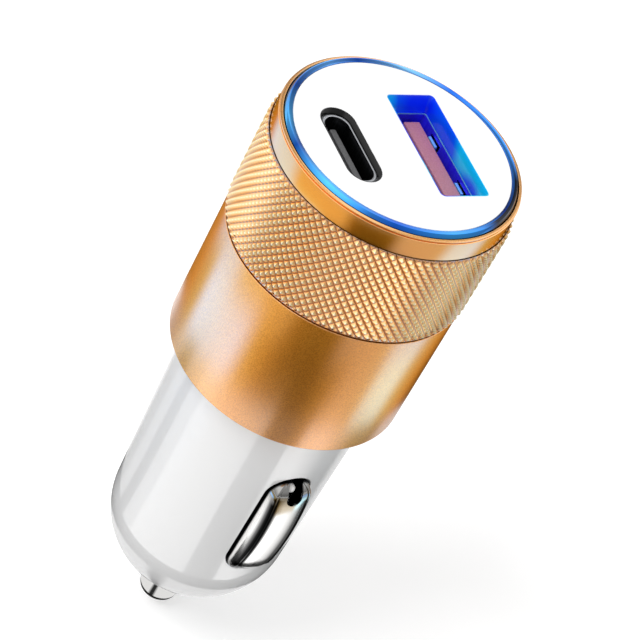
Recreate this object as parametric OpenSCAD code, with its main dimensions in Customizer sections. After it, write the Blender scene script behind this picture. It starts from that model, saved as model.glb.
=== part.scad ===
// Car charger plug with one USB-A and one USB-C port. A knurled aluminium sleeve
// stands on a plastic plug barrel, which holds a sprung centre tip and two sprung
// side contacts. The ports sit behind a white face inside a polished blue ring.
// Millimetres. +Z runs along the plug from its nose to its face, +X from the USB-C
// port to the USB-A port. The origin is on the axis at the sleeve's lower shoulder,
// the plane that stops against the rim of the vehicle's socket.

/* [Plug barrel] */
// Diameter of the barrel where it leaves the sleeve
plug_d = 20.8; // [20.4:0.1:21]
// Length of the straight collar under the shoulder, before the draft begins
collar_l = 6.4; // [5:0.1:7]
// Distance from the shoulder to the end of the nose
plug_l = 35; // [34:0.5:38]
// Radius of the domed nose
nose_r = 9.9; // [9.8:0.05:10.1]
// Wall of the barrel below the shoulder
barrel_wall = 1.2; // [1:0.1:1.4]
// Thickness of the nose round the tip's hole
nose_floor_t = 2; // [1.6:0.1:2.4]
// Width of the two contact windows
window_w = 5.2; // [4.8:0.1:5.6]
// Length of the two contact windows
window_l = 15.7; // [15.5:0.1:16.3]
// Distance from the shoulder to the middle of the windows
window_z = 15.25; // [15.2:0.05:15.6]

/* [Sleeve] */
// Wall of the smooth lower sleeve
sleeve_wall = 0.7; // [0.65:0.05:1]
// Length of the sleeve from the shoulder to its lip
sleeve_l = 29.85; // [29.5:0.05:33]
// Thickness of the shoulder that is turned in at the sleeve's lower end
shoulder_t = 1.2; // [1:0.1:1.5]
// Height above the shoulder at which the knurl begins
knurl_z = 16.2; // [12:0.1:16.4]
// Length of the knurled band
knurl_l = 11.3; // [9:0.1:11.6]
// Height of the knurl's points above the lower sleeve
knurl_stand = 0.25; // [0.15:0.05:0.4]
// Depth of the knurl from its points to its grooves
knurl_depth = 0.35; // [0.25:0.05:0.45]
// Diamonds in one turn of the knurl
knurl_count = 90; // [60:2:94]
// Rows of diamonds along the knurl
knurl_rows = 11; // [8:1:12]
// Wall of the smooth neck above the knurl
neck_wall = 0.5; // [0.45:0.05:0.65]
// Radial width of the bright lip round the bezel ring
lip_w = 0.3; // [0.25:0.05:0.35]

/* [Face] */
// Plastic between the outermost corner of a port and the edge of the face
face_margin = 1.71; // [1.5:0.01:2]
// Height of the bezel ring's crest above the sleeve's lip
ring_stand = 0.35; // [0.2:0.05:0.6]
// Radial width of the bezel ring's inner facet
ring_inner_facet = 0.48; // [0.4:0.02:0.6]
// Radial width of the bezel ring's outer facet
ring_outer_facet = 0.23; // [0.15:0.01:0.25]
// Thickness of the face plate
plate_t = 1.55; // [1.3:0.05:2]
// Distance of the face below the ring's crest
face_drop = 0.1; // [0.05:0.05:0.2]

/* [USB-A port] */
// Distance from the axis to the middle of the USB-A opening
a_x = 3.85; // [3.8:0.05:4]
// Inside length of the USB-A metal shell
a_shell_l = 12.5; // [12.4:0.05:12.6]
// Inside width of the USB-A metal shell
a_shell_w = 5.12; // [5.08:0.02:5.2]
// Room that the opening in the face adds at each end of the USB-A shell
a_flare_l = 0.55; // [0.45:0.05:0.65]
// Room that the opening in the face adds at each side of the USB-A shell
a_flare_w = 0.19; // [0.15:0.01:0.25]
// Depth from the face to the mouth of the metal shell
a_lead_in = 1.95; // [1.9:0.05:2.2]

/* [USB-C port] */
// Distance from the axis to the middle of the USB-C opening
c_x = 5.85; // [5.8:0.05:6]
// Inside length of the USB-C metal shell
c_shell_l = 8.34; // [8.3:0.02:8.4]
// Inside width of the USB-C metal shell
c_shell_w = 2.56; // [2.52:0.02:2.6]
// Room that the opening in the face adds round the USB-C shell's inside
c_flare = 0.6; // [0.58:0.02:0.7]
// Depth from the face to the rim of the metal shell
c_lead_in = 0.5; // [0.4:0.05:0.7]

/* [Contacts] */
// Diameter of the centre tip
tip_d = 4.6; // [4:0.1:4.8]
// Length of the tip outside the nose
tip_out = 5.9; // [5:0.1:7]
// Travel of the centre tip
tip_travel = 3; // [2:0.1:3.2]
// Height of a side contact's crown above the barrel's collar
contact_stand = 1.65; // [1.5:0.05:1.8]
// Travel of a side contact
contact_travel = 1.7; // [1.5:0.05:1.8]
// Thickness of the formed sheet of the side contacts
contact_sheet = 0.4; // [0.3:0.05:0.45]
// Wire of the tip's coil spring
spring_wire = 0.5; // [0.4:0.05:0.55]
// Turns of the tip's coil spring
spring_turns = 5.5; // [4:0.5:6]

/* [Board] */
// Thickness of the circuit board
board_t = 1.2; // [1:0.1:1.6]
// Side of the choke's square base
choke_w = 8; // [6:0.5:8.5]
// Height of the choke above the board
choke_h = 4.8; // [4:0.1:5]
// Diameter of the input capacitor
input_cap_d = 8; // [6.3:0.1:8]
// Length of the input capacitor
input_cap_l = 12; // [10:0.5:12]
// Diameter of the output capacitor
output_cap_d = 6.3; // [5:0.1:6.3]
// Length of the output capacitor
output_cap_l = 9; // [7:0.5:12]

/* [Hidden] */
$fn = 96;

// Clearances
press_gap = 0.05;   // between pieces that are pressed or glued together
slide_gap = 0.1;    // round a piece that slides
window_gap = 0.25;  // round a side contact in its window
cut = 1;            // how far a cut runs past the face it opens

// Openings in the face, and the radius of the face that holds them
a_l = a_shell_l + 2 * a_flare_l;
a_w = a_shell_w + 2 * a_flare_w;
c_l = c_shell_l + 2 * c_flare + 0.3;
c_w = c_shell_w + 2 * c_flare;
port_reach = max(norm([a_x + a_w / 2, a_l / 2]), norm([c_x, (c_l - c_w) / 2]) + c_w / 2);
face_r = port_reach + face_margin;

// Sleeve, ring and face
plug_r = plug_d / 2;
ring_inner_r = face_r + press_gap;
ring_r = ring_inner_r + ring_inner_facet + ring_outer_facet;
bore_r = ring_r + press_gap;
sleeve_r = bore_r + sleeve_wall;
neck_r = bore_r + neck_wall;
edge_c = 0.2;
groove_w = 0.15;
groove_d = 0.25;
knurl_r = sleeve_r + knurl_stand;
crest_z = sleeve_l + ring_stand;
face_z = crest_z - face_drop;
plate_z = face_z - plate_t;
skirt_wall = 0.55;
skirt_l = 2.2;

// Barrel: the plug below the shoulder, and the tube inside the sleeve
land_r = plug_r + 0.2;
hole_r = land_r + press_gap;
dome_z = nose_r - plug_l;
tube_r = bore_r - press_gap;
tube_wall = 1.25;
tube_bore_r = tube_r - tube_wall;
ledge_t = 1.2;
ledge_z = shoulder_t + ledge_t;
floor_z = nose_floor_t - plug_l;
dome_bore_r = nose_r - barrel_wall;

// Ports
shell_t = 0.3;
a_shell_depth = 14;
a_mouth_z = face_z - a_lead_in;
a_tongue_offset = 0.8;
a_tongue_t = 1.84;
a_tongue_l = a_shell_l - 1.4;
a_tongue_inset = 0.45;
a_base_t = 2.8;
a_contact_y = [-3.5, -1, 1, 3.5];
a_contact_half = 0.5;
a_contact_inset = 2;
c_shell_t = 0.35;
c_shell_depth = 7.25;
c_rim_z = face_z - c_lead_in;
c_tongue_l = c_shell_l - 1.65;
c_tongue_t = 0.7;
c_tongue_inset = 0.85;
c_base_t = 2.2;
c_contact_w = 0.25;
c_contact_t = 0.06;
c_contact_pitch = 0.5;
c_contact_inset = 1.6;
riser_half = 4.4;
riser_back_t = 1.8;
riser_top_z = c_rim_z - 2.25;
flange_t = 0.35;
flange_w = 0.25;
flange_reach = tube_bore_r - slide_gap;

// Board: its +X face carries the USB-A shell
board_x1 = a_x - a_shell_w / 2 - shell_t;
board_x0 = board_x1 - board_t;
board_top = plate_z - 2.5;
board_half = 10.15;
board_mid_half = plug_r - barrel_wall - 0.5;
board_mid_z = 0.3 - collar_l;
tail_half = 4.2;
lead_w = 0.4;
lead_out = 1;
can_low = ledge_z + 1.6;
can_lead_r = 0.25;
chip_low = board_mid_z + 2.1;
chip_w = 3.9;
chip_l = 4.9;
chip_h = 1.6;
port_chip_w = 3;
port_chip_h = 1.1;
port_chip_y = -6.8;
diode_w = 2.6;
diode_l = 4.3;
diode_h = 2.1;
fuse_w = 2.6;
fuse_l = 6;
fuse_h = 2;
cap_chip_w = 1.25;
cap_chip_l = 1.4;
cap_chip_h = 1.1;
resistor_w = 0.8;
resistor_l = 1;
resistor_h = 0.45;
small_y = 6.5;
small_pitch = 3;

// Contacts
tip_r = tip_d / 2;
tip_end_z = -plug_l - tip_out;
tip_flange_r = tip_r + 0.9;
tip_flange_t = 1.1;
tip_flange_z = floor_z + press_gap;
guide_r = tip_flange_r + 0.25;
guide_wall = 1.15;
seat_z = dome_z;
seat_t = 0.4;
tab_half = 1.2;
tab_l = 3.6;
disc_t = 1;
disc_z = seat_z + disc_t;
crown_y = plug_r + contact_stand;
cap_half = window_w / 2 - window_gap;
cap_top_z = -window_z + window_l / 2 - 0.35;
cap_low_z = -window_z - window_l / 2 + 0.2;
crown_z = 0.65 - window_z;
arch_r = 32;
cap_round = 1.7;
lip_t = 0.5;
stop_w = 0.7;
block_top = disc_z + 5;
rail_half = 1.5;
rail_y = 7.4;
rail_base_y = 5.6;
rail_top_z = cap_top_z - 0.8;
rail_low_z = cap_low_z + 0.9;
peg_r = 0.48;
peg_z = cap_top_z - 1.35;
peg_y = 10.66;
notch_r = 0.875;
notch_z = cap_top_z - 1.58;
leaf_t = 0.25;
leaf_half = 1.3;
leaf_z = -0.65 - window_z;
leaf_span = 11;

// Round-ended slot, long side along Y
module slot(l, w) {
  square([w, l - w], center = true);
  for (s = [-1, 1]) translate([0, s * (l - w) / 2]) circle(d = w);
}

// Rectangle with round corners, w along X and l along Y
module round_rect(w, l, r) {
  square([w - 2 * r, l], center = true);
  square([w, l - 2 * r], center = true);
  for (sx = [-1, 1], sy = [-1, 1])
    translate([sx * (w / 2 - r), sy * (l / 2 - r)]) circle(r = r);
}

// Box between two corners
module span(a, b) {
  translate(a) cube(b - a);
}

// The plug's outer form, drawn in by an inset and open at the top
module plug_form(inset, top) {
  translate([0, 0, dome_z]) sphere(r = nose_r - inset);
  translate([0, 0, dome_z])
    cylinder(h = -collar_l - dome_z, r1 = nose_r - inset, r2 = plug_r - inset);
  translate([0, 0, -collar_l]) cylinder(h = collar_l + top, r = plug_r - inset);
}

// Slot through the barrel's wall in the XZ plane, between two distances from the axis
module wall_slot(l, w, z, y0, y1) {
  translate([0, y1, z]) rotate([90, 0, 0]) linear_extrude(y1 - y0) slot(l, w);
}

// Knurl radius at column i and row j: points and grooves in a diamond lattice,
// with a plain run-out at both ends
function knurl_at(i, j) =
  (j == 0 || j == 2 * knurl_rows) ? knurl_r - knurl_depth - 0.05
  : (i + j) % 2 == 0 ? knurl_r : knurl_r - knurl_depth;

module knurl_band() {
  cols = 2 * knurl_count;
  rows = 2 * knurl_rows;
  inner_r = knurl_r - knurl_depth - 0.4;
  turn = [for (i = [0:cols - 1]) [cos(360 * i / cols), sin(360 * i / cols)]];
  outer = [for (j = [0:rows]) for (i = [0:cols - 1])
    [knurl_at(i, j) * turn[i][0], knurl_at(i, j) * turn[i][1], knurl_z + knurl_l * j / rows]];
  inner = [for (z = [knurl_z, knurl_z + knurl_l]) for (i = [0:cols - 1])
    [inner_r * turn[i][0], inner_r * turn[i][1], z]];
  low = len(outer);
  high = low + cols;
  sides = [for (j = [0:rows - 1]) for (i = [0:cols - 1])
    let (k = (i + 1) % cols, p = j * cols + i, q = j * cols + k, r = q + cols, s = p + cols)
    each ((i + j) % 2 == 0 ? [[p, s, q], [r, q, s]] : [[p, r, q], [p, s, r]])];
  bore = [for (i = [0:cols - 1]) let (k = (i + 1) % cols) [low + i, low + k, high + k, high + i]];
  foot = [for (i = [0:cols - 1]) let (k = (i + 1) % cols) [i, k, low + k, low + i]];
  head = [for (i = [0:cols - 1]) let (k = (i + 1) % cols, t = rows * cols)
    [t + k, t + i, high + i, high + k]];
  polyhedron(concat(outer, inner), concat(sides, bore, foot, head));
}

// Knurled aluminium sleeve, turned in one piece
module sleeve() {
  core_r = knurl_r - knurl_depth - 0.15;
  knurl_top = knurl_z + knurl_l;
  lip_r = bore_r + 0.07 + lip_w;
  lip_z = sleeve_l - 0.1;
  line_z = lip_z - 0.15;
  color("#e0a050") {
    rotate_extrude($fn = 180) polygon([
      [hole_r, 0], [sleeve_r - edge_c, 0], [sleeve_r, edge_c],
      [sleeve_r, knurl_z - groove_w], [core_r, knurl_z - groove_w],
      [core_r, knurl_top + 0.02], [neck_r + 0.05, knurl_top + 0.02],
      [neck_r - 0.05, line_z], [lip_r, line_z + 0.04], [lip_r, lip_z],
      [bore_r + 0.07, sleeve_l], [bore_r, sleeve_l - 0.15],
      [bore_r, shoulder_t], [hole_r, shoulder_t]]);
    knurl_band();
  }
}

// Polished bezel ring with two facets
module bezel_ring() {
  color("#1f6fe0") rotate_extrude($fn = 180) polygon([
    [ring_inner_r, plate_z], [ring_r, plate_z],
    [ring_r, crest_z - 0.37], [ring_r - ring_outer_facet, crest_z],
    [ring_inner_r, crest_z - 0.07]]);
}

// White face with its two openings, and the skirt that plugs into the barrel and
// leaves room for the ports' flanges
module face_plate() {
  skirt_r = tube_bore_r - press_gap;
  room = 2 * (flange_w + slide_gap);
  color("#f7f7f7") {
    difference() {
      rotate_extrude($fn = 180) polygon([
        [0, plate_z], [face_r, plate_z], [face_r, face_z - 0.12],
        [face_r - 0.12, face_z - 0.03], [face_r - 0.35, face_z], [0, face_z]]);
      translate([a_x, 0, plate_z - cut]) linear_extrude(plate_t + 2 * cut)
        round_rect(a_w, a_l, 0.5);
      translate([-c_x, 0, plate_z - cut]) linear_extrude(plate_t + 2 * cut) slot(c_l, c_w);
    }
    difference() {
      translate([0, 0, plate_z - skirt_l]) linear_extrude(skirt_l) difference() {
        circle(r = skirt_r, $fn = 180);
        circle(r = skirt_r - skirt_wall, $fn = 180);
      }
      translate([a_x, 0, plate_z - skirt_l - cut]) linear_extrude(skirt_l + cut)
        round_rect(a_w + room, a_l + room, 0.6);
    }
  }
}

// Moulded barrel: domed nose with the tip's hole, drafted plug with two contact
// windows, a land that seats in the sleeve's shoulder, and the tube inside the
// sleeve with its board guides
module barrel() {
  color("#f4f4f4") difference() {
    union() {
      plug_form(0, shoulder_t);
      cylinder(h = shoulder_t, r = land_r);
      translate([0, 0, shoulder_t]) cylinder(h = plate_z - shoulder_t, r = tube_r);
    }
    difference() {
      plug_form(barrel_wall, ledge_z + cut);
      translate([0, 0, -plug_l - cut]) cylinder(h = floor_z + plug_l + cut, r = nose_r);
    }
    difference() {
      translate([0, 0, ledge_z]) cylinder(h = plate_z, r = tube_bore_r);
      board_guides();
    }
    translate([0, 0, -plug_l - cut]) cylinder(h = nose_floor_t + 2 * cut, r = tip_r + slide_gap);
    for (s = [-1, 1])
      wall_slot(window_l, window_w, -window_z, s > 0 ? nose_r / 2 : -plug_r - cut,
                s > 0 ? plug_r + cut : -nose_r / 2);
  }
}

// Two pairs of ribs in the barrel's tube that hold the board's edges
module board_guides() {
  rib = 0.8;
  reach = 0.6;
  top = a_mouth_z - a_shell_depth - 1;
  for (s = [-1, 1], x = [board_x0 - slide_gap - rib, board_x1 + slide_gap])
    span([x, s > 0 ? board_half - reach : -tube_r, ledge_z - cut],
         [x + rib, s > 0 ? tube_r : reach - board_half, top]);
}

// Polished blue lead-in of the USB-A port, with a flange behind the face plate
module usb_a_surround() {
  color("#1060f0") translate([a_x, 0, 0]) difference() {
    union() {
      translate([0, 0, a_mouth_z]) linear_extrude(face_z - a_mouth_z - 0.02)
        round_rect(a_w - 0.04, a_l - 0.04, 0.48);
      translate([0, 0, a_mouth_z]) linear_extrude(flange_t) intersection() {
        round_rect(a_w + 2 * flange_w, a_l + 2 * flange_w, 0.6);
        translate([-a_x, 0]) circle(r = flange_reach);
      }
    }
    hull() {
      translate([0, 0, face_z]) linear_extrude(0.01)
        round_rect(a_w - 0.16, a_l - 0.16, 0.44, $fn = 32);
      translate([0, 0, a_mouth_z - 0.01]) linear_extrude(0.01)
        round_rect(a_shell_w, a_shell_l, 0.3, $fn = 32);
    }
  }
}

// Spring finger of the USB-A shell: a strip that leans into the port and a round bump
module a_finger(lean) {
  l = 6;
  translate([0, 0, -l]) rotate([0, lean, 0]) {
    translate([-shell_t / 2, -0.75, 0]) cube([shell_t, 1.5, l - 0.2]);
    translate([0, 0, l - 1.1]) rotate([90, 0, 0]) cylinder(h = 1.5, r = 0.42, center = true);
  }
}

// Drawn steel shell of the USB-A receptacle
module usb_a_shell() {
  low = a_mouth_z - a_shell_depth;
  w = a_shell_w + 2 * shell_t;
  l = a_shell_l + 2 * shell_t;
  finger_z = a_mouth_z - 0.6;
  color("#3340c8") translate([a_x, 0, 0]) {
    difference() {
      translate([0, 0, low]) linear_extrude(a_shell_depth) difference() {
        round_rect(w, l, 0.5);
        round_rect(a_shell_w, a_shell_l, 0.25);
      }
      for (s = [-1, 1], y = [-3.15, 3.15])
        span([s > 0 ? a_shell_w / 2 - cut : -w / 2 - cut, y - 1, finger_z - 5.6],
             [s > 0 ? w / 2 + cut : -a_shell_w / 2 + cut, y + 1, finger_z]);
    }
    for (s = [-1, 1], y = [-3.15, 3.15])
      translate([s * (a_shell_w + shell_t) / 2, y, finger_z]) a_finger(-s * 4);
    for (s = [-1, 1], z = [low + 2, a_mouth_z - 4.5])
      span([-w / 2, s > 0 ? l / 2 - 0.2 : -l / 2 - 1, z],
           [-w / 2 + shell_t, s > 0 ? l / 2 + 1 : 0.2 - l / 2, z + 1.8]);
  }
}

// Insulator of the USB-A receptacle: the base block, and the tongue with a groove
// for each contact
module usb_a_tongue() {
  low = a_mouth_z - a_shell_depth;
  x = a_x + a_tongue_offset;
  color("#b06a80") difference() {
    union() {
      span([a_x - a_shell_w / 2 + press_gap, -a_shell_l / 2 + 0.3, low + 0.2],
           [a_x + a_shell_w / 2 - press_gap, a_shell_l / 2 - 0.3, low + a_base_t]);
      span([x - a_tongue_t / 2, -a_tongue_l / 2, low + a_base_t - 0.1],
           [x + a_tongue_t / 2, a_tongue_l / 2, a_mouth_z - a_tongue_inset]);
    }
    for (y = a_contact_y)
      span([x - a_tongue_t / 2 - 0.1, y - a_contact_half, low],
           [x - a_tongue_t / 2 + 0.15, y + a_contact_half, a_mouth_z - a_contact_inset]);
  }
}

// Four spring contacts in the grooves on the tongue's -X side, with their solder tails
module usb_a_contacts() {
  low = a_mouth_z - a_shell_depth;
  x = a_x + a_tongue_offset - a_tongue_t / 2 + 0.15;
  t = 0.25;
  color("#d8b050") for (y = a_contact_y) {
    span([x - t, y - a_contact_half, low - 0.3], [x, y + a_contact_half, a_mouth_z - a_contact_inset]);
    translate([x - 0.4, y, a_mouth_z - a_contact_inset - 1.2]) rotate([90, 0, 0])
      cylinder(h = 2 * a_contact_half, r = 0.4, center = true);
    span([board_x1, y - 0.3, low - 0.3], [x, y + 0.3, low - 0.3 + t]);
    span([board_x1, y - 0.3, low - 1.4], [board_x1 + t, y + 0.3, low - 0.3]);
  }
}

// Prism of a round-ended slot whose sides slope evenly, built from cones and a wedge
module slot_cone(l, w0, w1, h) {
  run = l - w1;
  for (s = [-1, 1]) translate([0, s * run / 2, 0]) cylinder(h = h, d1 = w0, d2 = w1);
  rotate([90, 0, 0]) linear_extrude(run, center = true)
    polygon([[-w0 / 2, 0], [w0 / 2, 0], [w1 / 2, h], [-w1 / 2, h]]);
}

// Glossy black lead-in of the USB-C port, with a flange behind the face plate
module usb_c_surround() {
  bevel = 0.37;
  bevel_w = 0.45;
  flange_z = plate_z - press_gap - flange_t;
  mouth_w = c_w - 2 * bevel_w;
  color("#141416") translate([-c_x, 0, 0]) difference() {
    union() {
      translate([0, 0, flange_z]) linear_extrude(face_z - flange_z - 0.02)
        slot(c_l - 0.04, c_w - 0.04);
      translate([0, 0, flange_z]) linear_extrude(flange_t)
        slot(c_l + 2 * flange_w, c_w + 2 * flange_w);
    }
    translate([0, 0, flange_z - cut]) linear_extrude(c_rim_z - flange_z + cut)
      slot(c_shell_l + 2 * c_shell_t + 0.06, c_shell_w + 2 * c_shell_t + 0.06);
    translate([0, 0, c_rim_z - cut]) linear_extrude(c_lead_in + 2 * cut)
      slot(c_l - 2 * bevel_w, mouth_w);
    translate([0, 0, face_z - bevel]) slot_cone(c_l - 0.1, mouth_w, c_w - 0.1, bevel);
  }
}

// Deep-drawn steel shell of the USB-C receptacle
module usb_c_shell() {
  color("#8f9296") translate([-c_x, 0, c_rim_z - c_shell_depth])
    linear_extrude(c_shell_depth) difference() {
      slot(c_shell_l + 2 * c_shell_t, c_shell_w + 2 * c_shell_t);
      slot(c_shell_l, c_shell_w);
    }
}

// Insulator of the USB-C receptacle: its plug in the shell and the thin tongue
module usb_c_tongue() {
  low = c_rim_z - c_shell_depth;
  color("#3a3a3d") translate([-c_x, 0, 0]) {
    translate([0, 0, low + press_gap]) linear_extrude(c_base_t)
      slot(c_shell_l - 2 * press_gap, c_shell_w - 2 * press_gap);
    translate([0, 0, low + c_base_t]) linear_extrude(c_shell_depth - c_base_t - c_tongue_inset)
      round_rect(c_tongue_t, c_tongue_l, 0.2);
  }
}

// Two rows of flat contacts on the faces of the USB-C tongue
module usb_c_contacts() {
  low = c_rim_z - c_shell_depth + c_base_t + press_gap;
  last = 5.5 * c_contact_pitch;
  face = c_tongue_t / 2;
  color("#d8b050") for (s = [-1, 1], y = [-last:c_contact_pitch:last + 0.01])
    span([-c_x + (s > 0 ? face : -face - c_contact_t), y - c_contact_w / 2, low],
         [-c_x + (s > 0 ? face + c_contact_t : -face), y + c_contact_w / 2,
          c_rim_z - c_contact_inset]);
}

// Riser that carries the USB-C shell off the board and closes its back
module usb_c_base() {
  shell_low = c_rim_z - c_shell_depth;
  shell_half = c_shell_w / 2 + c_shell_t;
  shell_x = -c_x + shell_half;
  color("#1c1c1e") {
    span([shell_x, -riser_half, shell_low - riser_back_t], [board_x0, riser_half, riser_top_z]);
    span([-c_x - shell_half, -riser_half, shell_low - riser_back_t],
         [shell_x + 0.5, riser_half, shell_low]);
  }
}

// Turned centre tip: domed pin, retaining flange and spring stem
module tip_contact() {
  stem_r = 1.4;
  stem_l = 2.2;
  flange_top = tip_flange_z + tip_flange_t;
  color("#d8dadd") {
    translate([0, 0, tip_end_z + tip_r]) sphere(r = tip_r);
    translate([0, 0, tip_end_z + tip_r])
      cylinder(h = tip_flange_z - tip_end_z - tip_r + 0.2, r = tip_r);
    translate([0, 0, tip_flange_z]) cylinder(h = tip_flange_t, r = tip_flange_r);
    translate([0, 0, flange_top]) cylinder(h = stem_l, r = stem_r);
  }
}

// Coil spring behind the tip: a round wire swept along a helix
module tip_spring() {
  low = tip_flange_z + tip_flange_t;
  high = seat_z - seat_t;
  coil_r = tip_flange_r - spring_wire / 2 - 0.3;
  wire_r = spring_wire / 2;
  sides = 8;
  per_turn = 16;
  steps = round(spring_turns * per_turn);
  rise = high - low - 2 * wire_r - 0.02;
  // The end turns lie flat, and the pitch grows and fades over one turn
  function ramp(t) = let (f = 1 / spring_turns)
    t < f ? t * t / (2 * f) : t > 1 - f ? 1 - f - (1 - t) * (1 - t) / (2 * f) : t - f / 2;
  function height(t) = low + wire_r + 0.01 + rise * ramp(t) / (1 - 1 / spring_turns);
  points = [for (i = [0:steps]) let (t = i / steps, a = 360 * spring_turns * t)
    for (k = [0:sides - 1]) let (b = 360 * k / sides, r = coil_r + wire_r * cos(b))
    [r * cos(a), r * sin(a), height(t) + wire_r * sin(b)]];
  skin = [for (i = [0:steps - 1]) for (k = [0:sides - 1])
    let (m = (k + 1) % sides, p = i * sides)
    each [[p + k, p + sides + k, p + sides + m], [p + k, p + sides + m, p + m]]];
  start = [[for (k = [0:sides - 1]) k]];
  finish = [[for (k = [0:sides - 1]) steps * sides + sides - 1 - k]];
  color("#c8cace") polyhedron(points, concat(skin, start, finish));
}

// Brass disc that the spring bears on, with a tab soldered to the board's tail
module centre_terminal() {
  color("#cfa94a") {
    translate([0, 0, seat_z - seat_t]) cylinder(h = seat_t, r = guide_r - slide_gap);
    span([board_x0 - seat_t, -tab_half, seat_z - seat_t], [board_x0, tab_half, seat_z + tab_l]);
  }
}

// Plastic frame in the barrel: the tip's guide tube, the board tail's slot and a
// rail with a locating peg under each side contact
module contact_carrier() {
  tube_out_r = guide_r + guide_wall;
  tube_low = dome_z - sqrt(pow(dome_bore_r, 2) - pow(tube_out_r + slide_gap, 2));
  mid_x = (board_x0 + board_x1) / 2;
  bridge_z = rail_top_z - 1.1;
  color("#2a2a2d") {
    difference() {
      union() {
        translate([0, 0, tube_low]) cylinder(h = disc_z - tube_low, r = tube_out_r);
        intersection() {
          translate([0, 0, seat_z]) cylinder(h = disc_t, r = nose_r);
          plug_form(barrel_wall + slide_gap, 0);
        }
        span([mid_x - 2, -rail_base_y, seat_z], [mid_x + 2, rail_base_y, block_top]);
        for (s = [-1, 1]) {
          span([-rail_half, s > 0 ? tail_half + 0.2 : -rail_base_y, seat_z],
               [rail_half, s > 0 ? rail_base_y : -tail_half - 0.2, rail_top_z + 1.3]);
          mirror([0, s > 0 ? 0 : 1, 0]) contact_rail();
        }
        span([-rail_half, -rail_base_y, bridge_z],
             [board_x0 - slide_gap, rail_base_y, rail_top_z + 1.3]);
      }
      translate([0, 0, tube_low - cut]) cylinder(h = seat_z - tube_low + cut, r = guide_r);
      span([board_x0 - slide_gap, -tail_half - slide_gap, disc_z],
           [board_x1 + slide_gap, tail_half + slide_gap, block_top + cut]);
      span([board_x0 - seat_t - slide_gap, -tab_half - slide_gap, seat_z - cut],
           [board_x0 + slide_gap, tab_half + slide_gap, block_top + cut]);
    }
    for (s = [-1, 1]) {
      translate([0, s * (rail_y - 0.1), peg_z]) rotate([-s * 90, 0, 0])
        cylinder(h = peg_y - peg_r - rail_y + 0.1, r = peg_r, $fn = 32);
      translate([0, s * (peg_y - peg_r), peg_z]) sphere(r = peg_r, $fn = 32);
    }
  }
}

// Rail on the +Y side, rounded at its ends so that the cap's walls clear it
module contact_rail() {
  intersection() {
    span([-rail_half, tail_half + 0.2, rail_low_z], [rail_half, rail_y, rail_top_z]);
    wall_slot(cap_top_z - cap_low_z - 2 * (contact_sheet + window_gap),
              2 * (cap_half - contact_sheet - window_gap),
              (cap_top_z + cap_low_z) / 2, 0, plug_r);
  }
}

// Side view of a contact's cap in the ZY plane: an arch with a rounded end each side
module cap_side(inset) {
  arch_y = crown_y - arch_r;
  r = cap_round - inset;
  base = 7;
  function corner_y(z) = arch_y + sqrt(pow(arch_r - cap_round, 2) - pow(z - crown_z, 2));
  function touch_z(z) = crown_z + (z - crown_z) * (arch_r - inset) / (arch_r - cap_round);
  top_z = cap_top_z - cap_round;
  low_z = cap_low_z + cap_round;
  intersection() {
    translate([crown_z, arch_y]) circle(r = arch_r - inset, $fn = 256);
    translate([touch_z(low_z), base]) square([touch_z(top_z) - touch_z(low_z), crown_y]);
  }
  for (z = [top_z, low_z]) translate([z, corner_y(z)]) circle(r = r);
  translate([low_z, base]) square([top_z - low_z + r, corner_y(top_z) - base]);
  translate([low_z - r, base]) square([top_z - low_z + r, corner_y(low_z) - base]);
}

// Cross-section of a contact's cap in the XY plane, crowned and round at its edges
module cap_section(inset) {
  base = 7;
  edge_r = 0.5;
  top_half = cap_half - 0.3;
  top_y = crown_y - 0.12;
  r = edge_r - inset / 2;
  polygon([[-cap_half + inset, base], [cap_half - inset, base],
           [cap_half - inset, plug_r - 0.3], [top_half - inset, top_y - edge_r],
           [inset - top_half, top_y - edge_r], [inset - cap_half, plug_r - 0.3]]);
  for (s = [-1, 1])
    translate([s * (top_half - inset - r), top_y - inset - r]) circle(r = r);
  translate([inset + r - top_half, base])
    square([2 * (top_half - inset - r), top_y - inset - base]);
  intersection() {
    translate([0, crown_y - inset - 16]) circle(r = 16, $fn = 256);
    translate([inset + r - top_half, base]) square([2 * (top_half - inset - r), crown_y]);
  }
}

// Solid of a cap on the +Y side, drawn in by an inset
module cap_form(inset) {
  mid_z = (cap_top_z + cap_low_z) / 2;
  length = cap_top_z - cap_low_z;
  intersection() {
    rotate([0, -90, 0]) linear_extrude(window_w, center = true) cap_side(inset);
    translate([0, 0, cap_low_z - cut]) linear_extrude(length + 2 * cut) cap_section(inset);
    wall_slot(length - 2 * inset, 2 * (cap_half - inset), mid_z, 0, crown_y + cut);
  }
}

// Side contact on the +Y side: a crowned cap of formed sheet, open behind, with a
// turned-out lip that stops it in its window and a notch round the locating peg
module side_contact() {
  mid_z = (cap_top_z + cap_low_z) / 2;
  length = cap_top_z - cap_low_z;
  hole_half = cap_half - contact_sheet;
  lip_low = plug_r - barrel_wall - slide_gap - lip_t;
  difference() {
    union() {
      difference() {
        cap_form(0);
        plug_form(barrel_wall + slide_gap + lip_t, 0);
      }
      intersection() {
        wall_slot(window_l + 2 * stop_w, window_w + 2 * stop_w, -window_z, 0, plug_r);
        difference() {
          plug_form(barrel_wall + slide_gap, 0);
          plug_form(barrel_wall + slide_gap + lip_t, 0);
        }
      }
    }
    cap_form(contact_sheet);
    wall_slot(length - 2 * contact_sheet, 2 * hole_half, mid_z, 0, lip_low + 1);
    wall_slot(2 * (rail_top_z + 4 - notch_z), 2 * notch_r, rail_top_z + 4 - notch_r,
              lip_low + 0.6, crown_y + cut);
  }
}

module front_contact() {
  color("#d4d6da") mirror([0, 1, 0]) side_contact();
}

module back_contact() {
  color("#d4d6da") side_contact();
}

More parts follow.
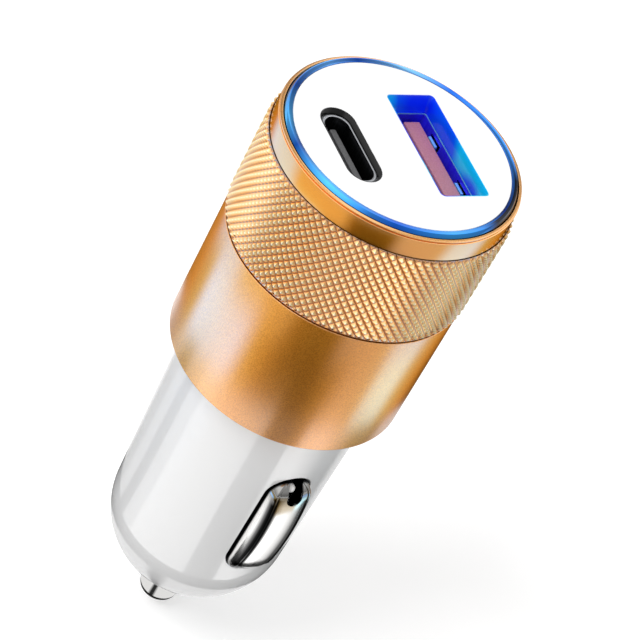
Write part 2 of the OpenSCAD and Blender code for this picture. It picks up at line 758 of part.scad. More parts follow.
// Bow spring behind a side contact on the +Y side: two feet on the rail, a bow up to
// the cap, and a tail round the rail's end to the board
module contact_leaf() {
  crown = crown_y - contact_sheet - press_gap
          - (arch_r - sqrt(pow(arch_r, 2) - pow(leaf_z - crown_z, 2)));
  rise = crown - rail_y - leaf_t;
  bow_r = (pow(leaf_span / 2, 2) + pow(rise, 2)) / (2 * rise);
  tail_x = board_x0 - leaf_t;
  tail_z = rail_top_z + leaf_t;
  difference() {
    union() {
      rotate([0, -90, 0]) linear_extrude(2 * leaf_half, center = true) {
        intersection() {
          translate([leaf_z, crown - bow_r]) difference() {
            circle(r = bow_r);
            circle(r = bow_r - leaf_t);
          }
          translate([leaf_z - leaf_span, rail_y]) square([2 * leaf_span, crown]);
        }
        translate([rail_low_z + 0.1, rail_y])
          square([leaf_z - leaf_span / 2 - rail_low_z + 0.15, leaf_t]);
        translate([leaf_z + leaf_span / 2 - 0.25, rail_y])
          square([tail_z - leaf_z - leaf_span / 2 + 0.25, leaf_t]);
        translate([rail_top_z, rail_base_y]) square([leaf_t, rail_y - rail_base_y + leaf_t]);
        translate([rail_top_z, rail_base_y])
          square([board_mid_z - 0.1 - rail_top_z, leaf_t]);
      }
      span([tail_x, rail_base_y, board_mid_z - 0.7],
           [board_x0, rail_base_y + 1.2, board_mid_z + 2.2]);
    }
    translate([0, rail_y - cut, peg_z]) rotate([-90, 0, 0])
      cylinder(h = 2 * cut + leaf_t, r = peg_r + slide_gap, $fn = 32);
  }
}

module front_leaf() {
  color("#b9bcc2") mirror([0, 1, 0]) contact_leaf();
}

module back_leaf() {
  color("#b9bcc2") contact_leaf();
}

// Circuit board: wide behind the ports, narrower in the plug, and a tail to the tip
module main_board() {
  color("#1d6b3a") {
    span([board_x0, -board_half, ledge_z], [board_x1, board_half, board_top]);
    span([board_x0, -board_mid_half, board_mid_z], [board_x1, board_mid_half, ledge_z]);
    span([board_x0, -tail_half, disc_z], [board_x1, tail_half, board_mid_z]);
  }
}

// Drum choke on the board's +X side: base, core between two flanges
module choke() {
  base_t = choke_h / 8;
  flange = choke_h / 8;
  z = a_mouth_z - a_shell_depth - 2 - choke_w / 2;
  color("#4a4a4e") {
    span([board_x1, -choke_w / 2, z - choke_w / 2],
         [board_x1 + base_t, choke_w / 2, z + choke_w / 2]);
    translate([board_x1 + base_t, 0, z]) rotate([0, 90, 0])
      cylinder(h = flange, d = choke_w);
    translate([board_x1 + base_t, 0, z]) rotate([0, 90, 0])
      cylinder(h = choke_h - base_t, d = 0.8 * choke_w);
    translate([board_x1 + choke_h - flange, 0, z]) rotate([0, 90, 0])
      cylinder(h = flange, d = choke_w);
  }
}

// Aluminium can capacitor that lies along the board, beaded near its leads, which
// are bent to the board
module can_capacitor(d, l, y) {
  r = d / 2;
  bead = 0.3;
  x = board_x0 - r - slide_gap;
  bend_z = can_low - 0.6;
  translate([x, y, can_low]) rotate_extrude() polygon([
    [0, 0], [r - bead, 0], [r, bead], [r, 4 * bead], [r - bead, 5 * bead], [r, 6 * bead],
    [r, l - bead], [r - bead, l], [0, l]]);
  for (s = [-1, 1]) translate([x, y + s * r / 2, bend_z]) {
    cylinder(h = can_low - bend_z + 0.1, r = can_lead_r, $fn = 24);
    rotate([0, 90, 0]) cylinder(h = board_x0 - x, r = can_lead_r, $fn = 24);
    sphere(r = can_lead_r, $fn = 24);
  }
}

module input_capacitor() {
  color("#3c4a66") can_capacitor(input_cap_d, input_cap_l, -input_cap_d / 2);
}

module output_capacitor() {
  color("#3c4a66") can_capacitor(output_cap_d, output_cap_l, output_cap_d / 2 + 1);
}

// Small-outline chip on the board's -X side: body and two rows of leads
module small_chip(y, z, w, l, h, leads, pitch) {
  span([board_x0 - h, y - w / 2, z - l / 2], [board_x0 - 0.1, y + w / 2, z + l / 2]);
  for (s = [-1, 1], i = [0:leads - 1])
    let (lead_z = z + (i - (leads - 1) / 2) * pitch)
    span([board_x0 - 0.25, y + (s > 0 ? w / 2 - 0.2 : -w / 2 - lead_out), lead_z - lead_w / 2],
         [board_x0, y + (s > 0 ? w / 2 + lead_out : 0.2 - w / 2), lead_z + lead_w / 2]);
}

module controller_chip() {
  color("#26272b") small_chip(0, chip_low + chip_l / 2, chip_w, chip_l, chip_h, 4, chip_l / 4);
}

module port_chip() {
  z = c_rim_z - c_shell_depth - riser_back_t - 0.5 - port_chip_w / 2;
  color("#26272b")
    small_chip(port_chip_y, z, port_chip_w, port_chip_w, port_chip_h, 4, port_chip_w / 4.6);
}

// Block part on the board's +X side with a metal terminal at each end
module end_block(y, z, w, l, h) {
  end_t = 0.4;
  span([board_x1, y - w / 2, z - l / 2], [board_x1 + h, y + w / 2, z + l / 2]);
  for (s = [-1, 1])
    span([board_x1, y - w / 3, z + (s > 0 ? l / 2 : -l / 2 - end_t)],
         [board_x1 + 0.8 * h, y + w / 3, z + (s > 0 ? l / 2 + end_t : -l / 2)]);
}

module rectifier_diode() {
  color("#303034") end_block(0, chip_low + diode_l / 2 + 0.6, diode_w, diode_l, diode_h);
}

module fuse() {
  color("#d8d4c4")
    end_block(0, block_top + fuse_l / 2 + 3, fuse_w, fuse_l, fuse_h);
}

module chip_capacitors() {
  color("#b08d62") {
    for (i = [0:2])
      end_block(-small_y, can_low + 1 + i * small_pitch, cap_chip_w, cap_chip_l, cap_chip_h);
    for (i = [0:1])
      end_block(small_y, can_low + 1 + i * small_pitch, cap_chip_w, cap_chip_l, cap_chip_h);
    end_block(4, chip_low, cap_chip_w, cap_chip_l, cap_chip_h);
  }
}

module chip_resistors() {
  color("#2d2d30") {
    for (i = [0:1]) end_block(small_y + i * 1.6, can_low + 1 + 2 * small_pitch,
                              resistor_w, resistor_l, resistor_h);
    for (i = [0:1]) end_block(-4 - i * 1.8, chip_low, resistor_w, resistor_l, resistor_h);
  }
}

sleeve();
bezel_ring();
face_plate();
barrel();
usb_a_surround();
usb_a_shell();
usb_a_tongue();
usb_a_contacts();
usb_c_surround();
usb_c_shell();
usb_c_tongue();
usb_c_contacts();
usb_c_base();
tip_contact();
tip_spring();
centre_terminal();
contact_carrier();
front_contact();
back_contact();
front_leaf();
back_leaf();
main_board();
choke();
input_capacitor();
output_capacitor();
controller_chip();
port_chip();
rectifier_diode();
fuse();
chip_capacitors();
chip_resistors();
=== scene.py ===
# %% [markdown]
# # A car charger plug, dressed for its portrait
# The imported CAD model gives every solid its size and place. This notebook keeps that
# frame and makes the surfaces: turned and knurled gold aluminium, a polished blue
# ring, glossy white plastic and plated contacts. All lengths are typed in millimetres,
# and MM turns them to metres where Blender needs them.

import math

import bmesh
import bpy
from mathutils import Matrix, Vector


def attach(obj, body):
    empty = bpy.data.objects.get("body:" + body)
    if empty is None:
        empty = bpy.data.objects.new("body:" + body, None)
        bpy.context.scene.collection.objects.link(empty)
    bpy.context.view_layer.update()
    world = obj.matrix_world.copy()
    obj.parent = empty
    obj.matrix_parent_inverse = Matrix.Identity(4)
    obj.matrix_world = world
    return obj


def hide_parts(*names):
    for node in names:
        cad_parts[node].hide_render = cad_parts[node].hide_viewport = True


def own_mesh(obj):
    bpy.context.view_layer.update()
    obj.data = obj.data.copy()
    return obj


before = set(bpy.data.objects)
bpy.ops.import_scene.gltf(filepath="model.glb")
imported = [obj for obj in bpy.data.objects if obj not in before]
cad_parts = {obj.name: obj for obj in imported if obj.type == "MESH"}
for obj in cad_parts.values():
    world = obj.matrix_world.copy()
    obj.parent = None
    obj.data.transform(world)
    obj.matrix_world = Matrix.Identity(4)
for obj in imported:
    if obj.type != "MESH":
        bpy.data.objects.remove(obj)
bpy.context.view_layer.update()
MM = 0.001
print("CAD nodes:", len(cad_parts))

# %% [markdown]
# ## Camera
# A product photographer stands back and uses a long lens, so that a small thing
# doesn't bulge. The camera here looks down on the face at 40 degrees from a quarter
# metre away, and it is rolled, so that the upright plug leans in the picture.

# %% Place the camera
CAMERA_PLACE = (-129.54, -137.82, 166.82)
CAMERA_TURN, CAMERA_HEIGHT, CAMERA_ROLL = 43.6, 40.35, 29.395
SENSOR, LENS = 36, 139.19


def camera_axes(turn, height, roll):
    """Camera's right, up and back, from its turn round Z, its height and its roll."""
    turn, height, roll = (math.radians(angle) for angle in (turn, height, roll))
    back = Vector((-math.cos(height) * math.sin(turn), -math.cos(height) * math.cos(turn),
                   math.sin(height)))
    right = Vector((math.cos(turn), -math.sin(turn), 0))
    up = back.cross(right)
    return (right * math.cos(roll) + up * math.sin(roll),
            up * math.cos(roll) - right * math.sin(roll), back)


axes = camera_axes(CAMERA_TURN, CAMERA_HEIGHT, CAMERA_ROLL)
camera = bpy.data.objects.new("camera", bpy.data.cameras.new("camera"))
bpy.context.scene.collection.objects.link(camera)
camera.data.sensor_width = SENSOR
camera.data.lens = LENS
camera.data.clip_start = 0.01
camera.matrix_world = (Matrix.Translation(Vector(CAMERA_PLACE) * MM)
                       @ Matrix(axes).transposed().to_4x4())
bpy.context.scene.camera = camera
bpy.context.scene.view_settings.view_transform = "Standard"
print("camera to axis: %.0f mm" % (camera.location.xy.length / MM))

# %% [markdown]
# ## Helpers for colour and shader nodes
# Paint and plastic are given as sRGB hex values, and the renderer counts in
# linear light, so one function turns one into the other. A second adds a shader node
# with its settings, values and links. Every pattern is placed by the object's own
# coordinates, so it stays on its piece. Several finishes change with the distance from
# the plug's axis, which a small group of nodes measures.

# %% Colour and node helpers
def linear(hex_value):
    """Turn an sRGB hex colour into the renderer's linear RGBA."""
    parts = [int(hex_value[i:i + 2], 16) / 255 for i in (1, 3, 5)]
    return [c / 12.92 if c <= 0.04045 else ((c + 0.055) / 1.055) ** 2.4 for c in parts] + [1.0]


def add_node(tree, kind, sockets=None, stops=(), **settings):
    """Add a node; a socket reads a value, a hex colour, an output, or a node's first output."""
    made = tree.nodes.new("ShaderNode" + kind)
    for name, value in settings.items():
        setattr(made, name, value)
    for name, value in (sockets or {}).items():
        if isinstance(value, bpy.types.Node):
            value = next(output for output in value.outputs if output.enabled)
        if isinstance(value, bpy.types.NodeSocket):
            tree.links.new(value, made.inputs[name])
        else:
            made.inputs[name].default_value = linear(value) if isinstance(value, str) else value
    for _ in stops[2:]:
        made.color_ramp.elements.new(0.5)
    for stop, (position, shade) in enumerate(stops):
        made.color_ramp.elements[stop].position = position
        made.color_ramp.elements[stop].color = (
            linear(shade) if isinstance(shade, str) else [shade] * 3 + [1.0])
    return made


def new_material(name):
    """Start a material; gives it, its empty node tree and a place on the object."""
    material = bpy.data.materials.new(name)
    material.use_nodes = True
    material.node_tree.nodes.clear()
    place = add_node(material.node_tree, "TexCoord").outputs["Object"]
    return material, material.node_tree, place


def axis_distance(tree, place):
    """Measure how far a spot is from the plug's axis."""
    flat = add_node(tree, "VectorMath", {0: place, 1: (1.0, 1.0, 0.0)}, operation="MULTIPLY")
    return add_node(tree, "VectorMath", {0: flat}, operation="LENGTH")


print("#808080 in linear light: %.3f" % linear("#808080")[0])

# %% [markdown]
# ## Metals
# The sleeve is aluminium, anodised and dyed gold: light passes the clear oxide, takes
# the dye's colour twice and leaves again, while the oxide's own surface reflects
# white. A tinted metal under a clear coat does the same. The coat's index is set above
# the oxide's 1.7, which brings the light bands out as pale as the photograph shows.
# Bead blasting leaves dents of about 0.05 mm, which spread the light into a satin
# sheen. They are drawn 0.13 mm wide here, so that they can show.

# %% Anodised aluminium, bead blasted
OXIDE_INDEX, DENT = 2.4, 0.13
gold_blasted, tree, place = new_material("anodised_aluminium_bead_blasted")
dents = add_node(tree, "TexNoise", {"Vector": place, "Scale": 1 / (DENT * MM), "Detail": 1.0})
base_colour = add_node(tree, "ValToRGB", {"Fac": dents}, stops=[(0.36, "#DE8A12"), (0.64, "#FAA930")])
relief = add_node(tree, "Bump", {"Height": dents, "Strength": 0.4, "Distance": 0.03 * MM})
surface = add_node(tree, "BsdfPrincipled", {
    "Base Color": base_colour, "Metallic": 1.0, "Roughness": 0.38, "Normal": relief,
    "Coat Weight": 1.0, "Coat IOR": OXIDE_INDEX, "Coat Roughness": 0.2})
add_node(tree, "OutputMaterial", {"Surface": surface})
print("blast dents: %.2f mm" % DENT)

# %% [markdown]
# The neck above the knurl is turned and left bright, so its light bands are crisper.
# The tool leaves fine rings round the axis. Real ones are about 0.02 mm apart; here
# they are 0.75 mm apart and uneven, which leaves a faint waviness. A wave texture of
# scale 1 repeats every pi / 10 units, and its scale follows from that.

# %% Anodised aluminium, turned
RING_PITCH = 0.754
gold_turned, tree, place = new_material("anodised_aluminium_turned")
rings = add_node(tree, "TexWave", {"Vector": place, "Scale": math.pi / 10 / (RING_PITCH * MM),
                                   "Distortion": 0.4, "Detail": 1.0},
                 wave_type="RINGS", rings_direction="Z")
relief = add_node(tree, "Bump", {"Height": rings.outputs["Fac"], "Strength": 0.1,
                                 "Distance": 0.01 * MM})
surface = add_node(tree, "BsdfPrincipled", {
    "Base Color": "#EFA22C", "Metallic": 1.0, "Roughness": 0.24, "Normal": relief,
    "Coat Weight": 1.0, "Coat IOR": OXIDE_INDEX, "Coat Roughness": 0.12})
add_node(tree, "OutputMaterial", {"Surface": surface})
print("tool rings: %.2f mm" % RING_PITCH)

# %% [markdown]
# Knurling presses the metal into points, whose tips wear bright while dye and dirt
# stay in the grooves. The distance from the axis tells groove from tip, and the colour
# goes from brown in the grooves to pale gold and near white on the tips. A little of
# that is wear; most is painted shade in the grooves and painted highlights on the tips.

# %% Anodised aluminium, knurled
KNURL_FLOOR, KNURL_TIP = 12.6, 12.94
gold_knurled, tree, place = new_material("anodised_aluminium_knurled")
height = add_node(tree, "MapRange", {"Value": axis_distance(tree, place),
                                     "From Min": KNURL_FLOOR * MM, "From Max": KNURL_TIP * MM})
# Painted shade in the brown grooves and painted highlights on the near-white tips, besides some
# wear.
base_colour = add_node(tree, "ValToRGB", {"Fac": height}, stops=[
    (0.0, "#8E4E0C"), (0.25, "#FBAE44"), (0.65, "#FFDA88"), (1.0, "#FFFFEE")])
surface = add_node(tree, "BsdfPrincipled", {
    "Base Color": base_colour, "Metallic": 1.0, "Roughness": 0.26,
    "Coat Weight": 1.0, "Coat IOR": OXIDE_INDEX, "Coat Roughness": 0.12})
add_node(tree, "OutputMaterial", {"Surface": surface})
print("knurl depth: %.2f mm" % (KNURL_TIP - KNURL_FLOOR))

# %% [markdown]
# The bezel ring is the same metal, polished and dyed blue. Such a ring shows light and
# dark stretches all round, because a mirror picks up each lamp and each gap between
# them. A plain blue under soft light looks like paint instead, so these stretches are
# painted reflections in the ring's colour: lighter and darker blue round the ring, and
# a painted dark reflection, nearly black, over a stretch of its outer half.

# %% Anodised aluminium, polished blue
blue_polished, tree, place = new_material("anodised_aluminium_polished_blue")
along = add_node(tree, "SeparateXYZ", {"Vector": place})
angle = add_node(tree, "Math", {0: along.outputs["Y"], 1: along.outputs["X"]},
                 operation="ARCTAN2")
lap = add_node(tree, "MapRange", {"Value": angle, "From Min": -math.pi, "From Max": math.pi})
# Painted reflections: lighter and darker blue stretches round the ring.
base_colour = add_node(tree, "ValToRGB", {"Fac": lap}, stops=[
    (0.0, "#0A48A0"), (0.07, "#50B8FF"), (0.17, "#1660D8"), (0.25, "#38A0F0"),
    (0.36, "#0A3CA8"), (0.5, "#4AA0FF"), (0.61, "#1C64D0"), (0.68, "#84C8FF"),
    (0.75, "#1658C8"), (0.8, "#6CB4FF"), (0.88, "#1450B0"), (0.95, "#4CB0F4"),
    (1.0, "#0A48A0")])
outer_half = add_node(tree, "MapRange", {"Value": axis_distance(tree, place),
                                         "From Min": 11.42 * MM, "From Max": 11.46 * MM})
# Painted dark reflection, nearly black, over a stretch of the outer half.
painted_dark_reflection = add_node(tree, "ValToRGB", {"Fac": lap}, stops=[
    (0.3, 1.0), (0.33, 0.02), (0.43, 0.02), (0.47, 1.0)])
painted_dark_reflection = add_node(tree, "Mix", {0: outer_half, 6: "#FFFFFF", 7: painted_dark_reflection},
                        data_type="RGBA")
base_colour = add_node(tree, "Mix", {0: 1.0, 6: base_colour, 7: painted_dark_reflection}, data_type="RGBA",
               blend_type="MULTIPLY")
surface = add_node(tree, "BsdfPrincipled", {
    "Base Color": base_colour, "Metallic": 1.0, "Roughness": 0.09,
    "Coat Weight": 0.4, "Coat IOR": 1.3, "Coat Roughness": 0.03})
add_node(tree, "OutputMaterial", {"Surface": surface})
print("nodes for the blue ring:", len(tree.nodes))

# %% [markdown]
# The tip and the side contacts are brass with a bright nickel plating. Nickel is a
# little warmer than chrome, and a bright bath leaves it smooth, with a faint haze.

# %% Nickel plate, bright
HAZE = 1.6
nickel, tree, place = new_material("nickel_plate_bright")
haze = add_node(tree, "TexNoise", {"Vector": place, "Scale": 1 / (HAZE * MM), "Detail": 3.0})
wear = add_node(tree, "MapRange", {"Value": haze, "To Min": 0.05, "To Max": 0.13})
surface = add_node(tree, "BsdfPrincipled", {
    "Base Color": "#E9E8E6", "Metallic": 1.0, "Roughness": wear})
add_node(tree, "OutputMaterial", {"Surface": surface})
print("haze on the nickel: %.1f mm" % HAZE)

# %% [markdown]
# The side contacts are pressed from sheet and plated afterwards. Their colour holds
# painted reflections and painted shade: the flank runs from light to black at the
# crease, the crown is light again, and the flank's lowest strip is painted black as the
# shadow of its window. A spot's distance from the axis tells these places: minus the
# barrel's draft it is the height above the barrel's wall, and plus the crown's sag it is
# the depth under the crown. The top end, where the crown drops away, is painted an
# even grey in place of its reflections.

# %% Nickel plate on a stamping
DRAFT, CROWN_Z, CROWN_SAG = 0.0267, -14.6, 64
nickel_formed, tree, place = new_material("nickel_plate_on_stamping")
reach = axis_distance(tree, place)
along = add_node(tree, "SeparateXYZ", {"Vector": place})
over_wall = add_node(tree, "Math", {0: along.outputs["Z"], 1: -DRAFT, 2: reach},
                     operation="MULTIPLY_ADD")
foot = add_node(tree, "MapRange", {"Value": over_wall, "From Min": 10.66 * MM,
                                   "From Max": 10.86 * MM})
from_crown = add_node(tree, "Math", {0: along.outputs["Z"], 1: -CROWN_Z * MM})
sag = add_node(tree, "Math", {0: from_crown, 1: from_crown}, operation="MULTIPLY")
depth = add_node(tree, "Math", {0: sag, 1: 1 / (CROWN_SAG * MM), 2: reach},
                 operation="MULTIPLY_ADD")
# Painted reflections and shade: light flank, black crease, light crown.
painted_fold_shade = add_node(tree, "MapRange", {"Value": depth, "From Min": 10.8 * MM, "From Max": 12.0 * MM})
shade = add_node(tree, "ValToRGB", {"Fac": painted_fold_shade}, stops=[
    (0.0, "#F2F1EF"), (0.25, "#D8D7D5"), (0.55, "#6A6969"), (0.76, "#141414"),
    (0.91, "#060606"), (0.95, "#ECEBE9")])
# Painted even grey at the top end, in place of its reflections.
painted_top_grey = add_node(tree, "MapRange", {"Value": along.outputs["Z"], "From Min": -10.4 * MM,
                                  "From Max": -9.2 * MM})
shade = add_node(tree, "Mix", {0: painted_top_grey, 6: shade, 7: "#8E8D8B"}, data_type="RGBA")
# Painted shadow: the flank's lowest strip is black in its window.
shade = add_node(tree, "Mix", {0: foot, 6: "#040404", 7: shade}, data_type="RGBA")
surface = add_node(tree, "BsdfPrincipled", {
    "Base Color": shade, "Metallic": 1.0, "Roughness": 0.12})
add_node(tree, "OutputMaterial", {"Surface": surface})
print("nodes for the stamping:", len(tree.nodes))

# %% [markdown]
# Drawn and stamped metals inside: spring wire, a brass disc, the steel shells of the
# receptacles. Drawing leaves lines along the metal, which noise stretched one way
# imitates, 0.13 mm wide so that they can show. A shell can have a paler rim: its bare
# cut edge, with a painted highlight along it. The crowns of the larger shell's spring
# fingers are rubbed by plugs and painted pale as highlights. The smaller shell's steel
# is painted far darker than bare steel, as painted shade inside its port.

# %% Drawn and stamped metals
A_X = 3.85


def drawn_metal(name, low, high, rough, stretch, rim_z=None, bare_metal_and_highlight="#FFFFFF", metal=1.0,
                crowns=None):
    """Metal with draw lines, a paler rim above a height and pale finger crowns, partly painted
    highlights.
    """
    material, tree, place = new_material(name)
    squeezed = add_node(tree, "VectorMath", {0: place, 1: stretch}, operation="MULTIPLY")
    lines = add_node(tree, "TexNoise", {"Vector": squeezed, "Scale": 1 / (0.13 * MM),
                                        "Detail": 1.0})
    tint = add_node(tree, "ValToRGB", {"Fac": lines}, stops=[(0.3, low), (0.7, high)])
    along = add_node(tree, "SeparateXYZ", {"Vector": place})
    # Paler rim: the bare cut edge, with a painted highlight along it.
    if rim_z is not None:
        cut = add_node(tree, "MapRange", {"Value": along.outputs["Z"],
                                          "From Min": (rim_z - 0.03) * MM,
                                          "From Max": rim_z * MM})
        tint = add_node(tree, "Mix", {0: cut, 6: tint, 7: bare_metal_and_highlight}, data_type="RGBA")
    # Finger crowns: rubbed by plugs and painted pale as highlights.
    if crowns is not None:
        middle, gap, run = crowns
        off = add_node(tree, "Math", {0: along.outputs["X"], 1: middle * MM},
                       operation="SUBTRACT")
        off = add_node(tree, "Math", {0: off}, operation="ABSOLUTE")
        inward = add_node(tree, "MapRange", {"Value": off, "From Min": (gap + 0.03) * MM,
                                             "From Max": (gap - 0.03) * MM})
        out = add_node(tree, "Math", {0: along.outputs["Y"]}, operation="ABSOLUTE")
        inside = add_node(tree, "Math", {0: out, 1: run * MM}, operation="LESS_THAN")
        rubbed_and_highlit = add_node(tree, "Math", {0: inward, 1: inside}, operation="MULTIPLY")
        tint = add_node(tree, "Mix", {0: rubbed_and_highlit, 6: tint, 7: bare_metal_and_highlight}, data_type="RGBA")
    relief = add_node(tree, "Bump", {"Height": lines, "Strength": 0.15, "Distance": 0.02 * MM})
    surface = add_node(tree, "BsdfPrincipled", {
        "Base Color": tint, "Metallic": metal, "Roughness": rough, "Normal": relief})
    add_node(tree, "OutputMaterial", {"Surface": surface})
    return material


spring_steel = drawn_metal("spring_steel_drawn", "#B4B6BA", "#D4D6DA", 0.25, (1, 1, 0.2))
# Painted shade: this steel is far darker than bare steel, for the inside of its port, and its
# pale rim is a painted highlight.
receptacle_steel_painted_dark = drawn_metal("stainless_steel_deep_drawn", "#36373A", "#4C4E52", 0.3,
                               (1, 1, 0.08), 29.55, "#A6A8AC")
# Its light cyan rim and finger crowns are painted highlights over bare metal.
blued_steel = drawn_metal("steel_plated_blue", "#341CFF", "#3C38FF", 0.3, (1, 1, 0.08),
                          28.02, "#8CD8FF", metal=0.4, crowns=(A_X, 2.42, 5.9))
brass_stamped = drawn_metal("brass_stamped", "#C79A3C", "#DDB45A", 0.3, (1, 0.1, 1))
gold_plate = drawn_metal("gold_plate_on_phosphor_bronze", "#D2A03C", "#EEC468", 0.22,
                         (1, 1, 0.1))
print("materials in the file:", len(bpy.data.materials))

# %% [markdown]
# ## Plastics
# The face, the barrel and the black bevel are ABS moulded in a polished tool: a milky
# body under a mirror skin. The barrel's skin gets an index of 2.0, above the usual
# 1.5, because its light bands stand out clearly in the photograph. The face keeps the
# usual 1.5, and the bevel goes below it, because it reflects little. A faint wave in
# the surface is what a moulding always has where it shrank.

# %% ABS, moulded gloss
SINK = 9


def gloss_plastic(name, shade, skin_index, skin_rough=0.04, index=1.54):
    """Plastic from a polished tool, with the slight waves of a moulding."""
    material, tree, place = new_material(name)
    sink = add_node(tree, "TexNoise", {"Vector": place, "Scale": 1 / (SINK * MM), "Detail": 1.0})
    relief = add_node(tree, "Bump", {"Height": sink, "Strength": 0.2, "Distance": 0.02 * MM})
    surface = add_node(tree, "BsdfPrincipled", {
        "Base Color": shade, "Roughness": 0.4, "IOR": index, "Normal": relief,
        "Coat Weight": 1.0, "Coat IOR": skin_index, "Coat Roughness": skin_rough,
        "Coat Normal": relief})
    add_node(tree, "OutputMaterial", {"Surface": surface})
    return material


white_barrel = gloss_plastic("abs_moulded_gloss_white", "#DADADA", 2.0)
white_face = gloss_plastic("abs_face_gloss_white", "#F4F4F5", 1.5)
black_gloss = gloss_plastic("abs_moulded_gloss_black", "#040404", 1.3, 0.05, index=1.1)
print("sink waves: %d mm" % SINK)

# %% [markdown]
# The blue lead-in of the larger port is plastic with a vapour-coated metal film under
# a clear blue lacquer, so it shines like metal. The lacquer pools as it dries, so the
# blue drifts to cyan over some millimetres; the cyan blotches are also painted
# highlights.

# %% ABS, metallised blue
POOL = 5.5
blue_film, tree, place = new_material("abs_metallised_blue")
# The cyan blotches are lacquer pooling and also painted highlights.
pooling_and_painted_highlight = add_node(tree, "TexNoise", {"Vector": place, "Scale": 1 / (POOL * MM), "Detail": 0.0})
tint = add_node(tree, "ValToRGB", {"Fac": pooling_and_painted_highlight}, stops=[
    (0.4, "#0832FF"), (0.56, "#0864FF"), (0.68, "#14D8FF")])
surface = add_node(tree, "BsdfPrincipled", {
    "Base Color": tint, "Metallic": 0.35, "Roughness": 0.2,
    "Coat Weight": 0.4, "Coat IOR": 1.4, "Coat Roughness": 0.04})
add_node(tree, "OutputMaterial", {"Surface": surface})
print("drift in the lacquer: %.1f mm" % POOL)

# %% [markdown]
# Inside pieces are moulded in tools with an eroded, matt surface, which keeps a grain
# of a few hundredths of a millimetre. It is drawn at 0.15 mm so that it can show, and
# at 0.3 mm on the coarser ferrite.

# %% Matt moulded plastics, ceramics and ferrite
def matt_moulding(name, low, high, rough=0.5, grain=0.15):
    """Satin surface with a fine grain between two hex colours."""
    material, tree, place = new_material(name)
    speckle = add_node(tree, "TexNoise", {"Vector": place, "Scale": 1 / (grain * MM),
                                          "Detail": 2.0})
    tint = add_node(tree, "ValToRGB", {"Fac": speckle}, stops=[(0.3, low), (0.7, high)])
    relief = add_node(tree, "Bump", {"Height": speckle, "Strength": 0.2, "Distance": 0.02 * MM})
    surface = add_node(tree, "BsdfPrincipled", {
        "Base Color": tint, "Roughness": rough, "IOR": 1.5, "Normal": relief})
    add_node(tree, "OutputMaterial", {"Surface": surface})
    return material


mauve_pbt = matt_moulding("pbt_moulded_mauve", "#B4707C", "#C07E88", 0.4)
grey_lcp = matt_moulding("lcp_moulded_grey", "#4A4A4C", "#585859", 0.4)
black_nylon = matt_moulding("nylon_moulded_black", "#141416", "#1E1E21")
black_resin = matt_moulding("epoxy_resin_moulded", "#17181B", "#232428")
ferrite = matt_moulding("ferrite_sintered", "#2C2C2F", "#3E3E42", 0.6, 0.3)
ceramic = matt_moulding("ceramic_fired_tan", "#A98558", "#BC966A", 0.35)
fuse_ceramic = matt_moulding("ceramic_glazed_white", "#D8D2C2", "#E6E0D2", 0.2)
can_sleeve = matt_moulding("aluminium_can_lacquered", "#2C3A5A", "#354468", 0.3)
print("materials in the file:", len(bpy.data.materials))

# %% [markdown]
# The carrier's two locating pegs show as a small bright dome in each notch: a painted
# highlight on their heads. Distance from the axis picks their heads out.

# %% Carrier with painted highlights on its peg heads
PEG_HEAD = 10.0
carrier_nylon, tree, place = new_material("nylon_moulded_black_with_painted_peg_highlights")
# Painted highlight on each peg head.
painted_peg_highlight = add_node(tree, "MapRange", {"Value": axis_distance(tree, place),
                                   "From Min": (PEG_HEAD - 0.1) * MM,
                                   "From Max": (PEG_HEAD + 0.1) * MM})
tint = add_node(tree, "Mix", {0: painted_peg_highlight, 6: "#141416", 7: "#F4F4F4"}, data_type="RGBA")
surface = add_node(tree, "BsdfPrincipled", {"Base Color": tint, "Roughness": 0.3, "IOR": 1.5})
add_node(tree, "OutputMaterial", {"Surface": surface})
print("peg heads beyond: %.0f mm" % PEG_HEAD)

# %% [markdown]
# The circuit board is glass cloth in epoxy under a green solder mask. Copper tracks
# under the mask show as a paler green. A brick pattern lays them out 0.75 mm apart.

# %% Solder mask over copper
TRACK_GAP, ROWS_PER_UNIT = 0.75, 4
board_mask, tree, place = new_material("glass_epoxy_with_solder_mask")
side_on = add_node(tree, "SeparateXYZ", {"Vector": place})
laid = add_node(tree, "CombineXYZ", {"X": side_on.outputs["Y"], "Y": side_on.outputs["Z"]})
tracks = add_node(tree, "TexBrick", {
    "Vector": laid, "Color1": "#0F4A28", "Color2": "#15592F", "Mortar": "#2C8048",
    "Scale": 1 / (TRACK_GAP * ROWS_PER_UNIT * MM), "Mortar Size": 0.06})
surface = add_node(tree, "BsdfPrincipled", {
    "Base Color": tracks, "Roughness": 0.3, "IOR": 1.5, "Coat Weight": 0.5,
    "Coat Roughness": 0.1})
add_node(tree, "OutputMaterial", {"Surface": surface})
print("tracks: %.2f mm apart" % TRACK_GAP)

# %% [markdown]
# ## Building meshes
# Every piece is a mesh from lists of points and faces. One function makes the object,
# and another makes a piece of the part from it: its faces look outwards, it is smooth
# up to an angle, it rides on a body of the model and it stands for one of its nodes.

# %% Objects and pieces
def mesh_object(name, points, faces, materials=()):
    """Mesh object from points in mm."""
    mesh = bpy.data.meshes.new(name)
    mesh.from_pydata([(x * MM, y * MM, z * MM) for x, y, z in points], [], faces)
    for material in materials:
        mesh.materials.append(material)
    made = bpy.data.objects.new(name, mesh)
    bpy.context.scene.collection.objects.link(made)
    return made


def face_outwards(mesh):
    """Turn the faces of a mesh to its outside."""
    edited = bmesh.new()
    edited.from_mesh(mesh)
    bmesh.ops.recalc_face_normals(edited, faces=edited.faces)
    edited.to_mesh(mesh)
    edited.free()


